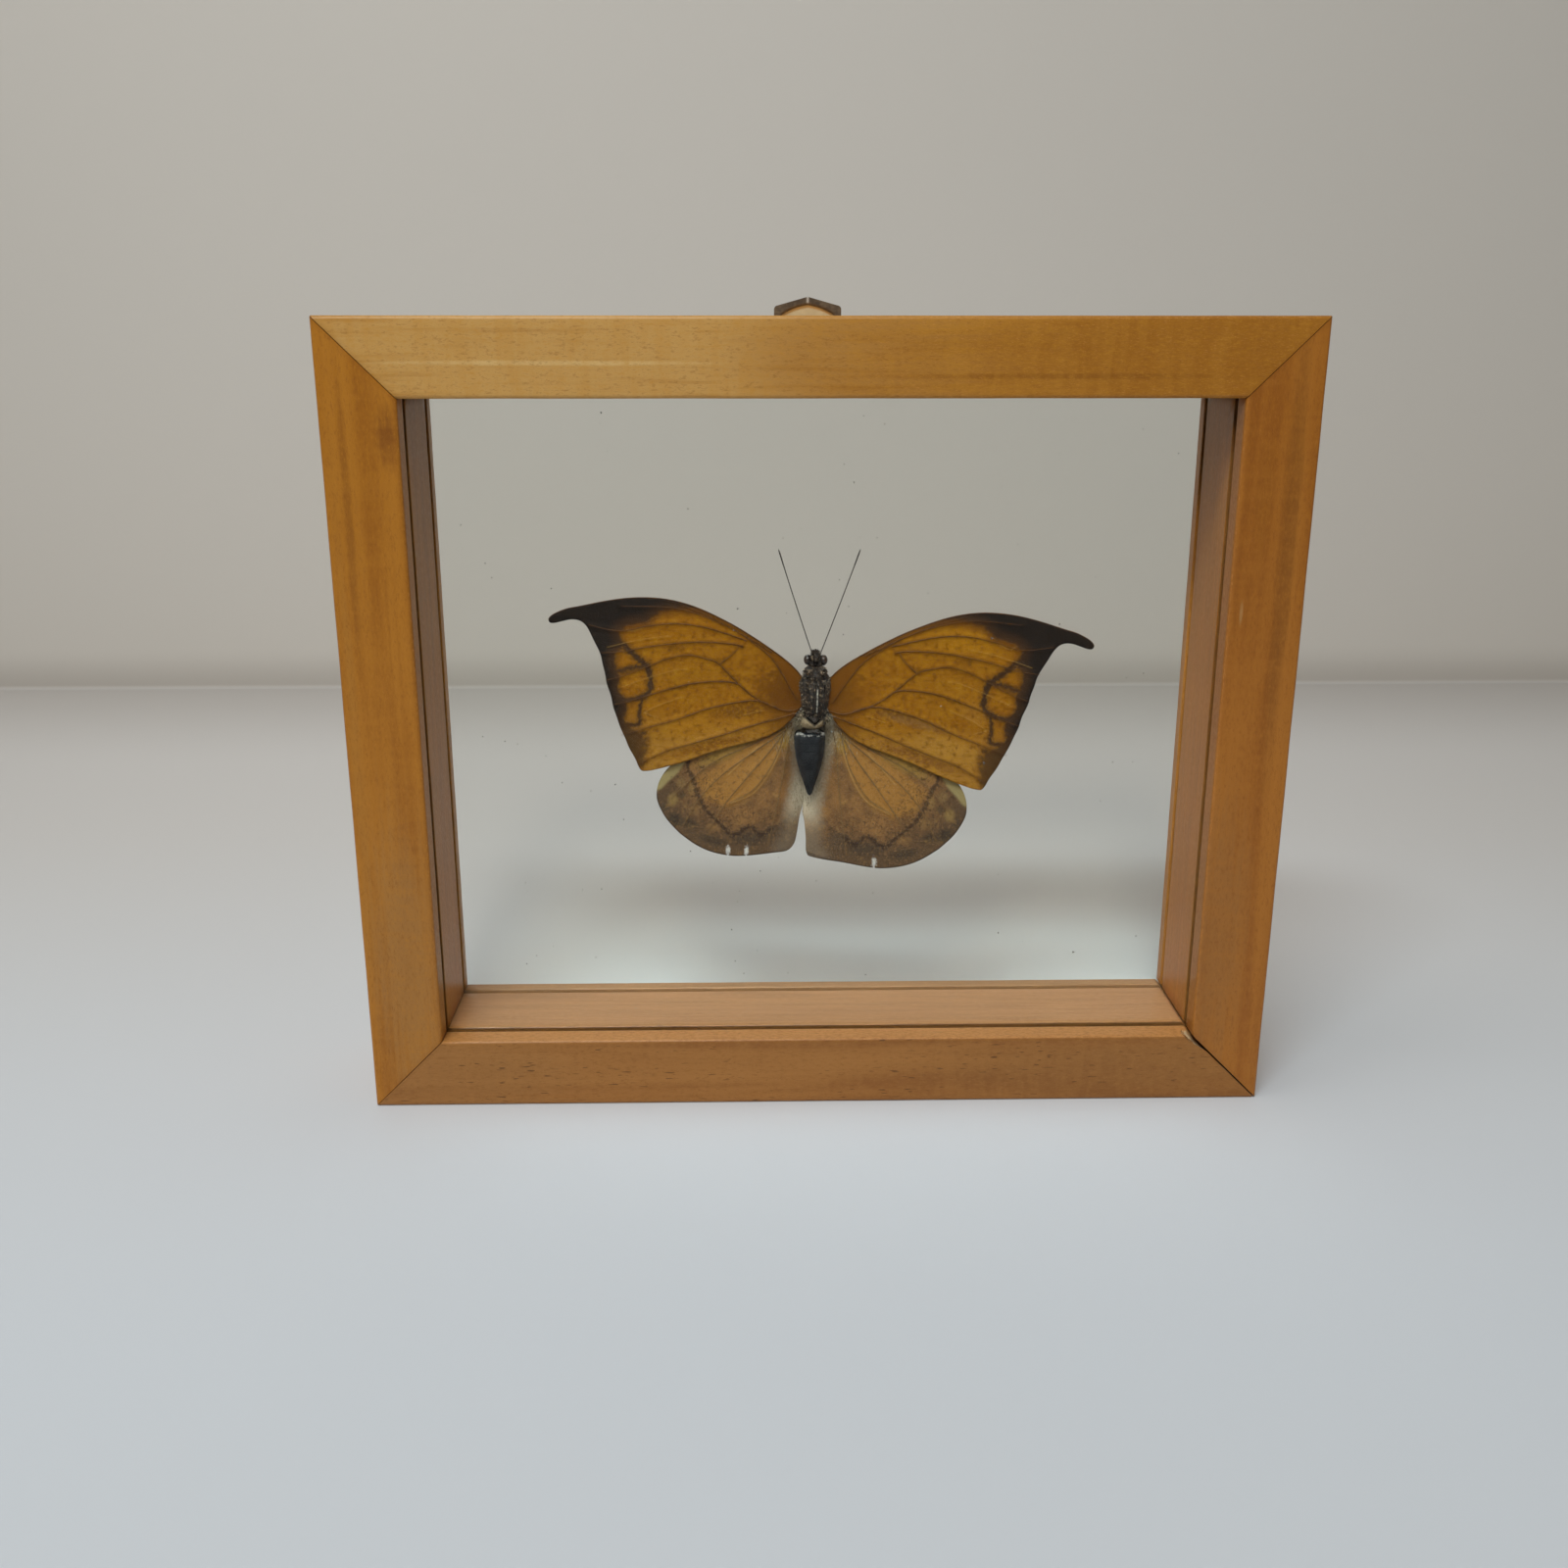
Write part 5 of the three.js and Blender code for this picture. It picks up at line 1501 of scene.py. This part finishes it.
# %% Thorax
THORAX_LUMPS = [
    ((0, 0, -0.9), (2.4, 2.3, 4.1)), ((-0.1, -0.1, 3), (1.95, 1.85, 1.5)),
    ((-0.4, 0, -5), (2.4, 2.05, 1.45)),
    ((-1.7, -0.6, 1.2), (0.9, 1.2, 2.2)), ((1.65, -0.6, 1.2), (0.9, 1.2, 2.2)),
    ((-1.0, -0.8, 3.8), (1.0, 1.2, 0.85)), ((0.85, -0.8, 3.8), (1.0, 1.2, 0.85)),
    ((-2.4, -0.3, -3.9), (1.0, 0.8, 0.9)), ((2.3, -0.3, -4.1), (1.1, 0.8, 0.9))]


def shape_thorax(points):
    """Presses the grooves in: the middle seam, the collar and the notched shield behind the wings."""
    x, y, z = points.T
    front = np.clip((-y - 0.5) / 1.0, 0, 1)
    on_back = clamp_step(z, -4.4, -3) * (1 - clamp_step(z, 2, 2.8))
    groove = 0.3 * np.exp(-((x - 0.12) / 0.12) ** 2) * on_back
    ridge = (-0.2 * np.exp(-((x - 0.5) / 0.2) ** 2) * on_back
             - 0.14 * np.exp(-((x + 0.3) / 0.2) ** 2) * on_back)
    side_seam = 0.25 * np.exp(-((np.abs(x - 0.05) - 1.25) / 0.14) ** 2) * on_back
    wedge = np.abs(z - (-5.2 + 0.75 * np.abs(x - 0.1)))
    seam = 0.5 * np.exp(-(wedge / 0.22) ** 2) * (np.abs(x) < 2.6)
    ring = 0.3 * np.exp(-((z - 2.5) / 0.22) ** 2) + 0.2 * np.exp(-((z + 6.2) / 0.2) ** 2)
    lumpy = 0.06 * np.sin(x * 7 + z * 3) * np.sin(z * 5 - x * 4)
    return np.column_stack([x, y + front * (groove + ridge + side_seam + seam + ring + lumpy), z])


def thorax_finish():
    finish, tree, shader = new_finish("thorax_scales", {"Roughness": 0.5, "Specular IOR Level": 0.45})
    where = place_on_piece(tree)
    grain = noise(tree, where, 3600.0, 3.0, 0.75)
    tufts = noise(tree, where, 1500.0, 3.0, 0.7)
    colour = lay_over(tree, ease(tree, tufts, 0.45, 0.62), (0.007, 0.004, 0.003), (0.05, 0.028, 0.016))
    # The pale specks over the dark ground are partly pale scales and partly painted highlight.
    colour = layers(tree, colour, [(tufts, 0.58, 0.66, 0.9, (0.34, 0.24, 0.14)),
                                   (grain, 0.58, 0.7, 0.7, (0.4, 0.3, 0.19))])
    colour = lay_over(tree, field(tree, "bare"), colour, (0.012, 0.008, 0.006))
    colour = lay_over(tree, field(tree, "glint"), colour, (0.8, 0.74, 0.64))
    pale = calc(tree, "MULTIPLY", field(tree, "cream"), ease(tree, grain, 0.2, 0.6, 0.6, 1))
    colour = lay_over(tree, pale, colour, (0.3, 0.22, 0.12))
    colour = lay_over(tree, field(tree, "shield"), colour, (0.008, 0.006, 0.005))
    tree.links.new(colour, shader.inputs["Base Color"])
    smooth_part = calc(tree, "MAXIMUM", field(tree, "bare"), field(tree, "shield"))
    tree.links.new(ease(tree, smooth_part, 0, 1, 0.6, 0.14), shader.inputs["Roughness"])
    strength = calc(tree, "MULTIPLY", calc(tree, "SUBTRACT", 1.0, smooth_part), grain)
    tree.links.new(raised(tree, strength, 0.0002, 0.8), shader.inputs["Normal"])
    return finish


thorax, skin = melt("thorax", THORAX_LUMPS, 0.11, 3)
x, y, z = skin.T
dorsal = np.clip((-y - 0.9) / 0.6, 0, 1)
streak = sum(np.exp(-((x - at) / half) ** 4) for at, half in ((0.5, 0.22), (-0.3, 0.14), (1.5, 0.12)))
bare = np.clip(dorsal * clamp_step(z, -3.6, -2.9) * (1 - clamp_step(z, 1.4, 2.2)) * streak, 0, 1)
below_shield = z + 5.2 - 0.75 * np.abs(x - 0.1)
cream = clamp_step(z, -6.8, -6.4) * (1 - clamp_step(below_shield, -0.4, -0.15)) * dorsal
shield = dorsal * np.exp(-((below_shield - 0.12) / 0.24) ** 4) * (np.abs(x - 0.1) < 2.0)
broken = 0.55 + 0.45 * np.sin(z * 3.1 + 1) * np.sin(z * 7.3)
glint_reach = clamp_step(z, -3.2, -2.6) * (1 - clamp_step(z, 0.6, 1.3))
glint = dorsal * np.exp(-((x - 0.34) / 0.09) ** 2) * glint_reach * broken
thorax_across, thorax_up = x, z
settle(thorax, shape_thorax(skin))
for name, values in (("bare", bare), ("cream", cream), ("shield", shield), ("glint", glint)):
    store(thorax, name, values)
thorax_skin = thorax_finish()
thorax.data.materials.append(thorax_skin)
hand_in(thorax, "body_hair", "thorax")

# %% [markdown]
# ## Head
# The head carries two large dark eyes and, on its underside, a pair of palps. A narrow V parts its
# scales. It is melted like the thorax and shares its finish, with the parting in the shield's place.

# %% Head with eyes and palps
HEAD_LUMPS = [
    ((-0.1, -0.2, 5.8), (1.0, 1.15, 1.05)), ((-0.1, -0.5, 6.3), (0.62, 0.7, 0.62)),
    ((-0.1, -0.1, 4.9), (1.3, 1.0, 0.7)),
    ((-0.7, -0.5, 5.0), (0.5, 0.6, 0.6)), ((0.5, -0.5, 5.0), (0.5, 0.6, 0.6)),
    ((-0.45, 0.8, 6.3), (0.35, 0.45, 0.8)), ((0.25, 0.8, 6.3), (0.35, 0.45, 0.8))]


def shape_head(points):
    """A narrow V parts the scales from the antennae down to the collar."""
    x, y, z = points.T
    front = np.clip((-y - 0.2) / 0.8, 0, 1)
    spread = np.clip((z - 4.2) / 2.6, 0, 1) * 0.62
    parting = 0.28 * np.exp(-((np.abs(x + 0.05) - spread) / 0.12) ** 2) * clamp_step(z, 3.8, 4.6)
    lumpy = 0.05 * np.sin(x * 9 + z * 5) * np.sin(z * 7)
    return np.column_stack([x, y + front * (parting + lumpy), z])


head, skin = melt("head", HEAD_LUMPS, 0.09, 3)
x, y, z = skin.T
arms = np.clip((z - 4.2) / 2.6, 0, 1) * 0.62
parting = np.exp(-((np.abs(x + 0.05) - arms) / 0.14) ** 2) * np.clip(-y, 0, 1)
settle(head, shape_head(skin))
store(head, "bare", np.zeros(len(skin)))
store(head, "cream", np.zeros(len(skin)))
store(head, "shield", parting * 0.9)
head.data.materials.append(thorax_skin)
hand_in(head, "body_hair", "head")


def eye_finish():
    finish, tree, shader = new_finish("eye", {
        "Roughness": 0.3, "Specular IOR Level": 0.5, "Coat Weight": 0.25, "Coat Roughness": 0.16})
    where = place_on_piece(tree)
    cells = add(tree, "ShaderNodeTexVoronoi", {"Vector": where, "Scale": 9000.0}).outputs["Distance"]
    bands = noise(tree, where, 1100.0, 2.0)
    colour = lay_over(tree, ease(tree, bands, 0.35, 0.65), (0.014, 0.008, 0.006), (0.05, 0.026, 0.016))
    tree.links.new(colour, shader.inputs["Base Color"])
    tree.links.new(raised(tree, cells, 0.00003, 0.5), shader.inputs["Normal"])
    return finish


eye_skin = eye_finish()
for side, across in (("left", -1.45), ("right", 1.25)):
    eye, skin = melt(f"eye_{side}", [((across, -0.2, 5.55), (0.66, 0.85, 0.88))], 0.07)
    settle(eye, skin)
    eye.data.materials.append(eye_skin)
    hand_in(eye, "body_hair")

# %% [markdown]
# ## Abdomen
# The abdomen is a slate-black cone of rings that overlap like the sections of a telescope. One profile
# gives its radius along its length, each ring widens a little to its rear and ends in a groove, and the
# profile is turned about a leaning axis.

# %% Abdomen
ABDOMEN_START = np.array([-0.62, 0, -6.85])
ABDOMEN_TIP = np.array([-0.2, 0, -18.4])
ABDOMEN_PROFILE = [
    (0, 2.42), (0.25, 2.58), (0.9, 2.64), (2, 2.6), (3.6, 2.45), (5, 2.2), (6.4, 1.85),
    (8, 1.36), (9.8, 0.78), (10.8, 0.42), (11.1, 0.28)]
RINGS = 7


def make_abdomen():
    spine = smooth_line(ABDOMEN_PROFILE, 0.09)
    length = ABDOMEN_PROFILE[-1][0]
    share = spine[:, 0] / length * RINGS
    step = share - np.floor(share)
    radius = spine[:, 1] + 0.05 * (step - 0.5) - 0.09 * np.exp(-((step - 0.97) / 0.05) ** 2)
    around = 64
    points = []
    axis = (ABDOMEN_TIP - ABDOMEN_START) / np.linalg.norm(ABDOMEN_TIP - ABDOMEN_START)
    side = np.array([1, 0, 0]) - axis * axis[0]
    side /= np.linalg.norm(side)
    out = np.cross(axis, side)
    for along, r in zip(spine[:, 0], radius):
        for k in range(around):
            angle = 2 * math.pi * k / around
            flat = 0.9 - 0.06 * math.cos(4 * angle)
            away = r * (side * math.cos(angle) + out * math.sin(angle) * flat)
            points.append(ABDOMEN_START + axis * along + away)
    first, last, base = len(points), len(points) + 1, len(points) - around
    points += [ABDOMEN_START, ABDOMEN_START + axis * (length + 0.2)]
    faces = ring_faces(len(spine), around)
    faces += [(first, i, (i + 1) % around) for i in range(around)]
    faces += [(last, base + (i + 1) % around, base + i) for i in range(around)]
    abdomen = make_mesh("abdomen", to_frame(points), faces)
    face_outwards(abdomen)
    abdomen.data.shade_smooth()
    down = np.r_[np.repeat(spine[:, 0], around), 0, length]
    store(abdomen, "joint", np.r_[np.repeat(step, around), 0, 0])
    store(abdomen, "down", down)
    return abdomen


def abdomen_finish():
    finish, tree, shader = new_finish("abdomen_shell", {"Specular IOR Level": 0.25, "Sheen Weight": 0.05})
    where = place_on_piece(tree)
    bloom = noise(tree, where, 700.0, 3.0, 0.6)
    fine = noise(tree, where, 5200.0, 2.0, 0.7)
    colour = lay_over(tree, ease(tree, bloom, 0.35, 0.7), (0.009, 0.010, 0.012), (0.021, 0.023, 0.026))
    colour = layers(tree, colour, [
        (fine, 0.55, 0.8, 0.3, (0.06, 0.065, 0.075)),
        (field(tree, "joint"), 0.9, 0.99, 0.5, (0.004, 0.004, 0.005))])
    # Painted highlight: a pale, broken rim at the front end of the abdomen.
    rim = calc(tree, "MULTIPLY", ease(tree, field(tree, "down"), 0.5, 0.2), ease(tree, bloom, 0.5, 0.6))
    colour = lay_over(tree, calc(tree, "MULTIPLY", rim, 0.8), colour, (0.42, 0.4, 0.36))
    tree.links.new(colour, shader.inputs["Base Color"])
    tree.links.new(ease(tree, field(tree, "down"), 0.3, 1.0, 0.25, 0.62), shader.inputs["Roughness"])
    tree.links.new(raised(tree, fine, 0.00005, 0.5), shader.inputs["Normal"])
    return finish


abdomen = make_abdomen()
abdomen.data.materials.append(abdomen_finish())
hand_in(abdomen, "abdomen_shell", "abdomen")

# %% [markdown]
# ## Antennae, tongue and legs
# These are all thin tubes along a line, so the tube tree makes them. An antenna has close-set rings and
# thickens to a slender club. Four legs are folded behind the body, with a swelling at each joint and
# short spines, and the tongue is a flat coil under the head.

# %% Thin limbs
limb_finish = vein_finish("limb_shell", (0.012, 0.009, 0.007), (0.04, 0.026, 0.018))
ANTENNAE = {
    "antenna_left": ((-0.75, -0.9, 6.7), (-6.9, -1.7, 23.9)),
    "antenna_right": ((0.6, -0.9, 6.7), (6.4, -1.7, 24.3))}
for name, (base, tip) in ANTENNAE.items():
    share = np.linspace(0, 1, 240)
    line = np.array(base) + (np.array(tip) - base) * share[:, None]
    line[:, 0] += 0.06 * np.sin(share * math.pi) * (1 if base[0] > 0 else -1)
    radius = 0.078 + 0.03 * clamp_step(share, 0.78, 0.93) - 0.05 * clamp_step(share, 0.96, 1)
    radius *= 1 + 0.12 * np.sin(share * 2 * math.pi * 40)
    antenna = make_tubes(name, [to_frame_tube(np.column_stack([line, radius]))], limb_finish, 8)
    hand_in(antenna, "limb_shell", name)

MIDDLE_LEG = [(1.5, 2.6, 0.8), (3.4, 3.1, 2.1), (3.3, 3.4, -0.4), (2.9, 3.6, -3.6)]
HIND_LEG = [(1.4, 2.6, -2), (4.3, 3.1, -2.6), (3.6, 3.5, -5.6), (2.4, 3.6, -8.8)]
for side, mirror in (("right", 1), ("left", -1)):
    for pair, path in (("middle", MIDDLE_LEG), ("hind", HIND_LEG)):
        line = smooth_line([(mirror * a, b, c) for a, b, c in path], 0.12)
        share = np.linspace(0, 1, len(line))
        joint = np.exp(-((share - 0.34) / 0.03) ** 2) + np.exp(-((share - 0.66) / 0.03) ** 2)
        radius = 0.26 - 0.15 * share + 0.05 * joint + 0.015 * np.sin(share * 60) * (share > 0.66)
        leg = make_tubes(f"leg_{pair}_{side}", [to_frame_tube(np.column_stack([line, radius]))],
                         limb_finish, 10)
        hand_in(leg, "limb_shell", f"leg_{pair}_{side}")
        spines = sow_spikes(f"leg_{pair}_{side}_spines", leg, np.ones(len(leg.data.vertices)), limb_finish,
                            density=9e6, length=0.3 * MM, radius=0.025 * MM, lean=(0, 0, -0.8),
                            wildness=0.3, seed=21)
        hand_in(spines, "limb_shell")

steps = np.linspace(0, 1, 90)
coil = 0.75 * (1 - 0.55 * steps)
turned = 2 * math.pi * 1.6 * steps
tongue_line = np.column_stack([
    np.full(len(steps), -0.1), 1.35 - coil * np.cos(turned), 6.3 + coil * np.sin(turned),
    0.16 - 0.08 * steps])
tongue = make_tubes("tongue", [to_frame_tube(tongue_line)], limb_finish, 8)
hand_in(tongue, "limb_shell")

# %% [markdown]
# ## Hair and scales
# Short dark hair and glossy scales cover the thorax and the head. Pale tufts stand at the wing bases,
# and long cream hair lies flat along the inner margins of the hind wings. Each kind is the spike tree
# with other numbers.

# %% Hair and scales


def hair_finish(name, dark, light, rough=0.55):
    finish, tree, shader = new_finish(name, {"Roughness": rough, "Specular IOR Level": 0.35})
    tone = noise(tree, place_on_piece(tree), 2400.0, 2.0)
    tree.links.new(lay_over(tree, ease(tree, tone, 0.45, 0.65), dark, light), shader.inputs["Base Color"])
    return finish


brown_hair = hair_finish("brown_hair", (0.008, 0.005, 0.003), (0.12, 0.07, 0.04))
glossy_scale = hair_finish("glossy_scale", (0.14, 0.09, 0.055), (0.66, 0.55, 0.4), 0.2)
cream_hair = hair_finish("cream_hair", (0.26, 0.19, 0.1), (0.66, 0.57, 0.4))

furry = np.clip(1 - bare * 2 - cream * 0.9 - shield * 2, 0, 1)
flanks = np.clip(np.abs(thorax_across) / 1.4 - 0.45, 0.18, 1) * furry
flanks *= 1 + np.exp(-((thorax_across + 2.1) / 0.7) ** 2) * (np.abs(thorax_up) < 2.4)
tufts = np.clip((np.abs(thorax_across) - 1.7) / 0.6, 0, 1) * clamp_step(thorax_up, -5.9, -5.2)
tufts *= 1 - clamp_step(thorax_up, -3.0, -2.2)
COATS = {
    "thorax_hair": (thorax, furry * 0.8, brown_hair, dict(
        density=1.5e7, length=0.5 * MM, radius=0.03 * MM, lean=(0, 0, -1.6), wildness=0.45, bend=0.3,
        seed=5)),
    "thorax_scale_glints": (thorax, flanks, glossy_scale, dict(
        density=9e6, length=0.24 * MM, radius=0.085 * MM, lean=(0, 0, -0.6), wildness=0.7, seed=9)),
    "head_hair": (head, 1 - parting * 1.3, brown_hair, dict(
        density=3.2e7, length=0.36 * MM, radius=0.035 * MM, lean=(0, 0, 0.5), wildness=0.5, bend=0.3,
        seed=6)),
    "wing_base_tufts": (thorax, tufts, cream_hair, dict(
        density=1.6e7, length=1.1 * MM, radius=0.035 * MM, lean=(0, 0, -1.1), wildness=0.8, bend=0.4,
        seed=7))}
for name, (skin, cover, finish, sizes) in COATS.items():
    hand_in(sow_spikes(name, skin, np.clip(cover, 0, 1), finish, **sizes), "body_hair")

for side, (wing, drawn) in hindwings.items():
    down = drawn[:, 1]
    root = np.exp(-(np.hypot(drawn[:, 0] - 3.4, down + 7.2) / 2.8) ** 2)
    inner = distance_to_line(drawn, smooth_line(INNER_MARGIN[side], 0.8))
    lying_flat = clamp_step(-down, 6, 8) * (1 - clamp_step(-down, 19, 25))
    lying_flat = lying_flat * (1 - clamp_step(inner, 1.5, 3.4))
    fur = sow_spikes(f"inner_margin_hair_{side}", wing, np.clip(0.6 * lying_flat + root, 0, 1), cream_hair,
                     density=1.5e7, length=1.0 * MM, radius=0.03 * MM, lean=(0, 0, -3.4), wildness=0.45,
                     bend=0.1, seed=11)
    hand_in(fur, "body_hair")

# %% [markdown]
# ## Hanger
# A small stamped plate is nailed to the back of the upper rail. Its rim is flat and dark bronze. An
# arched field is pressed out of it, so that the head of a wall nail fits behind, and its brass is
# painted bright, a painted reflection of the light that the flat field catches, with a painted glint
# at the peak. A keyhole in the field drops over the nail. From the front only the peak shows.

# %% Hanger plate
HANGER_MIDDLE = -1.55
HANGER_HALF_WIDTH = 5.45
HANGER_BOTTOM = 120.5
HANGER_SHOULDER = 129.95
HANGER_APEX = 131.3
HANGER_CORNER = 0.6
HANGER_SHEET = 0.8
PAN_HALF_WIDTH = 3.3
PAN_HALF_FOOT = 1.0
PAN_BOTTOM = 121.8
PAN_TOP = 130.25
PAN_PRESSED = 0.5
KEYHOLE = (1.5, 125.4)
KEYHOLE_NECK = (0.8, 127.5)


def densified(loop, spacing):
    """The same loop with more corners along its straight runs."""
    loop = np.array(loop)
    points = []
    for a, b in zip(loop, np.roll(loop, -1, 0)):
        count = max(1, int(round(np.linalg.norm(b - a) / spacing)))
        points += [a + (b - a) * i / count for i in range(count)]
    return np.array(points)


def metal_finish(name, dark, light, roughness, metallic):
    finish, tree, shader = new_finish(name, {"Metallic": metallic, "Roughness": roughness})
    millimetres = stretched(tree, place_on_piece(tree), (1000, 1000, 1000))
    cloud = noise(tree, millimetres, 0.9, 4.0, 0.6)
    brushed = noise(tree, stretched(tree, millimetres, (0.6, 0.6, 7)), 1.0, 2.0)
    tone = calc(tree, "ADD", calc(tree, "MULTIPLY", cloud, 0.7), calc(tree, "MULTIPLY", brushed, 0.3))
    colour = lay_over(tree, ease(tree, tone, 0.35, 0.68), dark, light)
    # Painted reflection: the pressed field is painted much brighter than the rim, for the light it catches.
    pressed = ease(tree, field(tree, "pressed"), 0.25, 0.75)
    colour = lay_over(tree, pressed, colour, tint(light, (3.4, 3.6, 3.0), 0.1))
    # Painted highlight: a glint at the peak of the plate.
    colour = lay_over(tree, field(tree, "painted_apex_glint"), colour, (0.97, 0.95, 0.9))
    tree.links.new(colour, shader.inputs["Base Color"])
    tree.links.new(ease(tree, cloud, 0.3, 0.75, roughness * 0.8, roughness * 1.3),
                   shader.inputs["Roughness"])
    tree.links.new(raised(tree, brushed, 0.00002, 0.4), shader.inputs["Normal"])
    return finish


def hanger_outline():
    m, w, r = HANGER_MIDDLE, HANGER_HALF_WIDTH, HANGER_CORNER
    right = arc((m + w - r, HANGER_BOTTOM + r), r, 270, 360, 5)
    right += arc((m + w - r, HANGER_SHOULDER - r), r, 0, 74, 5)
    left = [(2 * m - x, z) for x, z in right[::-1]]
    loop = right + [(m, HANGER_APEX)] + left
    return densified(loop, 0.25)


def pan_outline():
    """The field narrows to a foot below and follows the roof of the plate above."""
    m = HANGER_MIDDLE
    right = smooth_line([
        (m + PAN_HALF_FOOT, PAN_BOTTOM), (m + 2.2, 124), (m + PAN_HALF_WIDTH, 126.4), (m + 4.3, 127.9),
        (m + 4.2, 128.7),
        (m + 2.2, 129.7), (m, PAN_TOP)], 0.3)
    return np.vstack([right, np.column_stack([2 * m - right[::-1, 0], right[::-1, 1]])[1:]])


def keyhole_outline():
    m = HANGER_MIDDLE
    radius, low = KEYHOLE
    neck, high = KEYHOLE_NECK
    start = math.degrees(math.acos(neck / radius))
    lower = arc((m, low), radius, start, -180 - start, 26)
    upper = arc((m, high), neck, 180, 0, 10)
    return densified(lower + upper, 0.25)


def press_depth(points):
    return clamp_step(-signed_distance(points, pan_outline()), -0.1, 0.5)


plate, drawn = thin_sheet(
    "hanger_plate", hanger_outline(), lambda p: BACK_FACE + PAN_PRESSED * press_depth(p),
    lambda p: BACK_FACE + HANGER_SHEET + PAN_PRESSED * press_depth(p), 0.2,
    lambda p: np.asarray(p, float), [keyhole_outline()])
# The pressed field's share of painted reflection.
store(plate, "pressed", press_depth(drawn))
# A painted glint at the peak of the plate.
painted_apex_glint = np.exp(-((drawn[:, 0] - HANGER_MIDDLE) / 0.16) ** 2) * clamp_step(drawn[:, 1], 130.2, 130.5)
store(plate, "painted_apex_glint", painted_apex_glint)
plate.data.set_sharp_from_angle(angle=math.radians(40))
bronzed = metal_finish("bronzed_brass", (0.13, 0.1, 0.075), (0.24, 0.185, 0.125), 0.42, 0.5)
plate.data.materials.append(bronzed)
hand_in(plate, "hanger_metal", "hanger_plate")

# %% [markdown]
# ## Nails
# Two small nails hold the plate. A nail is a profile turned round its axis, as on a lathe, with a
# softly rounded edge to its head. The same function also turns the drop of glue further on.

# %% Nails
NAIL_PROFILE = [
    (-6.8, 0), (-6.0, 0.38), (-5.6, 0.52), (-0.2, 0.55), (0, 0.6), (0.02, 1.0), (0.1, 1.1), (0.22, 1.08),
    (0.36, 0.86), (0.45, 0.5), (0.49, 0)]


def turned_piece(name, profile, centre, around, wobble=0.0):
    """A closed lathe shape about a line through the frame. The profile is (depth, radius)."""
    points, rows = [], []
    for index, (depth, radius) in enumerate(profile):
        if radius == 0:
            rows.append([len(points)])
            points.append((centre[0], centre[1] + depth, centre[2]))
            continue
        rows.append(list(range(len(points), len(points) + around)))
        for k in range(around):
            angle = 2 * math.pi * k / around
            r = radius * (1 + wobble * math.sin(3 * angle + index) + wobble * math.sin(5 * angle + 2 * index))
            points.append((centre[0] + r * math.cos(angle), centre[1] + depth,
                           centre[2] + r * math.sin(angle)))
    faces = []
    for low, high in zip(rows, rows[1:]):
        for k in range(around):
            j = (k + 1) % around
            if len(low) == 1:
                faces.append((low[0], high[k], high[j]))
            elif len(high) == 1:
                faces.append((low[k], high[0], low[j]))
            else:
                faces.append((low[k], high[k], high[j], low[j]))
    made = make_mesh(name, points, faces)
    face_outwards(made)
    return made


nail_finish = metal_finish("nail_steel", (0.36, 0.34, 0.3), (0.6, 0.57, 0.5), 0.34, 0.9)
for side, across in (("left", HANGER_MIDDLE - 3.2), ("right", HANGER_MIDDLE + 3.2)):
    nail = turned_piece(f"hanger_nail_{side}", NAIL_PROFILE, (across, BACK_FACE + HANGER_SHEET, 123.3), 28)
    nail.data.shade_smooth()
    nail.data.set_sharp_from_angle(angle=math.radians(50))
    nail.data.materials.append(nail_finish)
    hand_in(nail, "nail_steel", f"hanger_nail_{side}")

# %% [markdown]
# ## Glue
# A drop of clear glue holds the thorax to the back pane.

# %% Glue dab
GLUE_PROFILE = [
    (0, 0), (0, 1.46), (-0.06, 1.5), (-0.2, 1.38), (-0.5, 1.16), (-1.1, 1.02), (-1.9, 0.98),
    (-2.5, 1.04), (-2.95, 1.2),
    (-3, 0)]
glue_finish, glue_nodes, glue_shader = new_finish("clear_glue", {
    "Base Color": (0.93, 0.9, 0.8, 1), "Roughness": 0.12, "IOR": 1.48, "Transmission Weight": 0.9})
glue_swirl = noise(glue_nodes, place_on_piece(glue_nodes), 900.0, 2.0)
glue_nodes.links.new(raised(glue_nodes, glue_swirl, 0.0001, 0.4), glue_shader.inputs["Normal"])
glue_spot = to_frame([(0, 4.1, -0.9)])[0]
glue = turned_piece("glue_dab", GLUE_PROFILE, (glue_spot[0], BACK_KERF, glue_spot[2]), 40, 0.035)
glue.data.materials.append(glue_finish)
hand_in(glue, "clear_glue", "glue_dab")
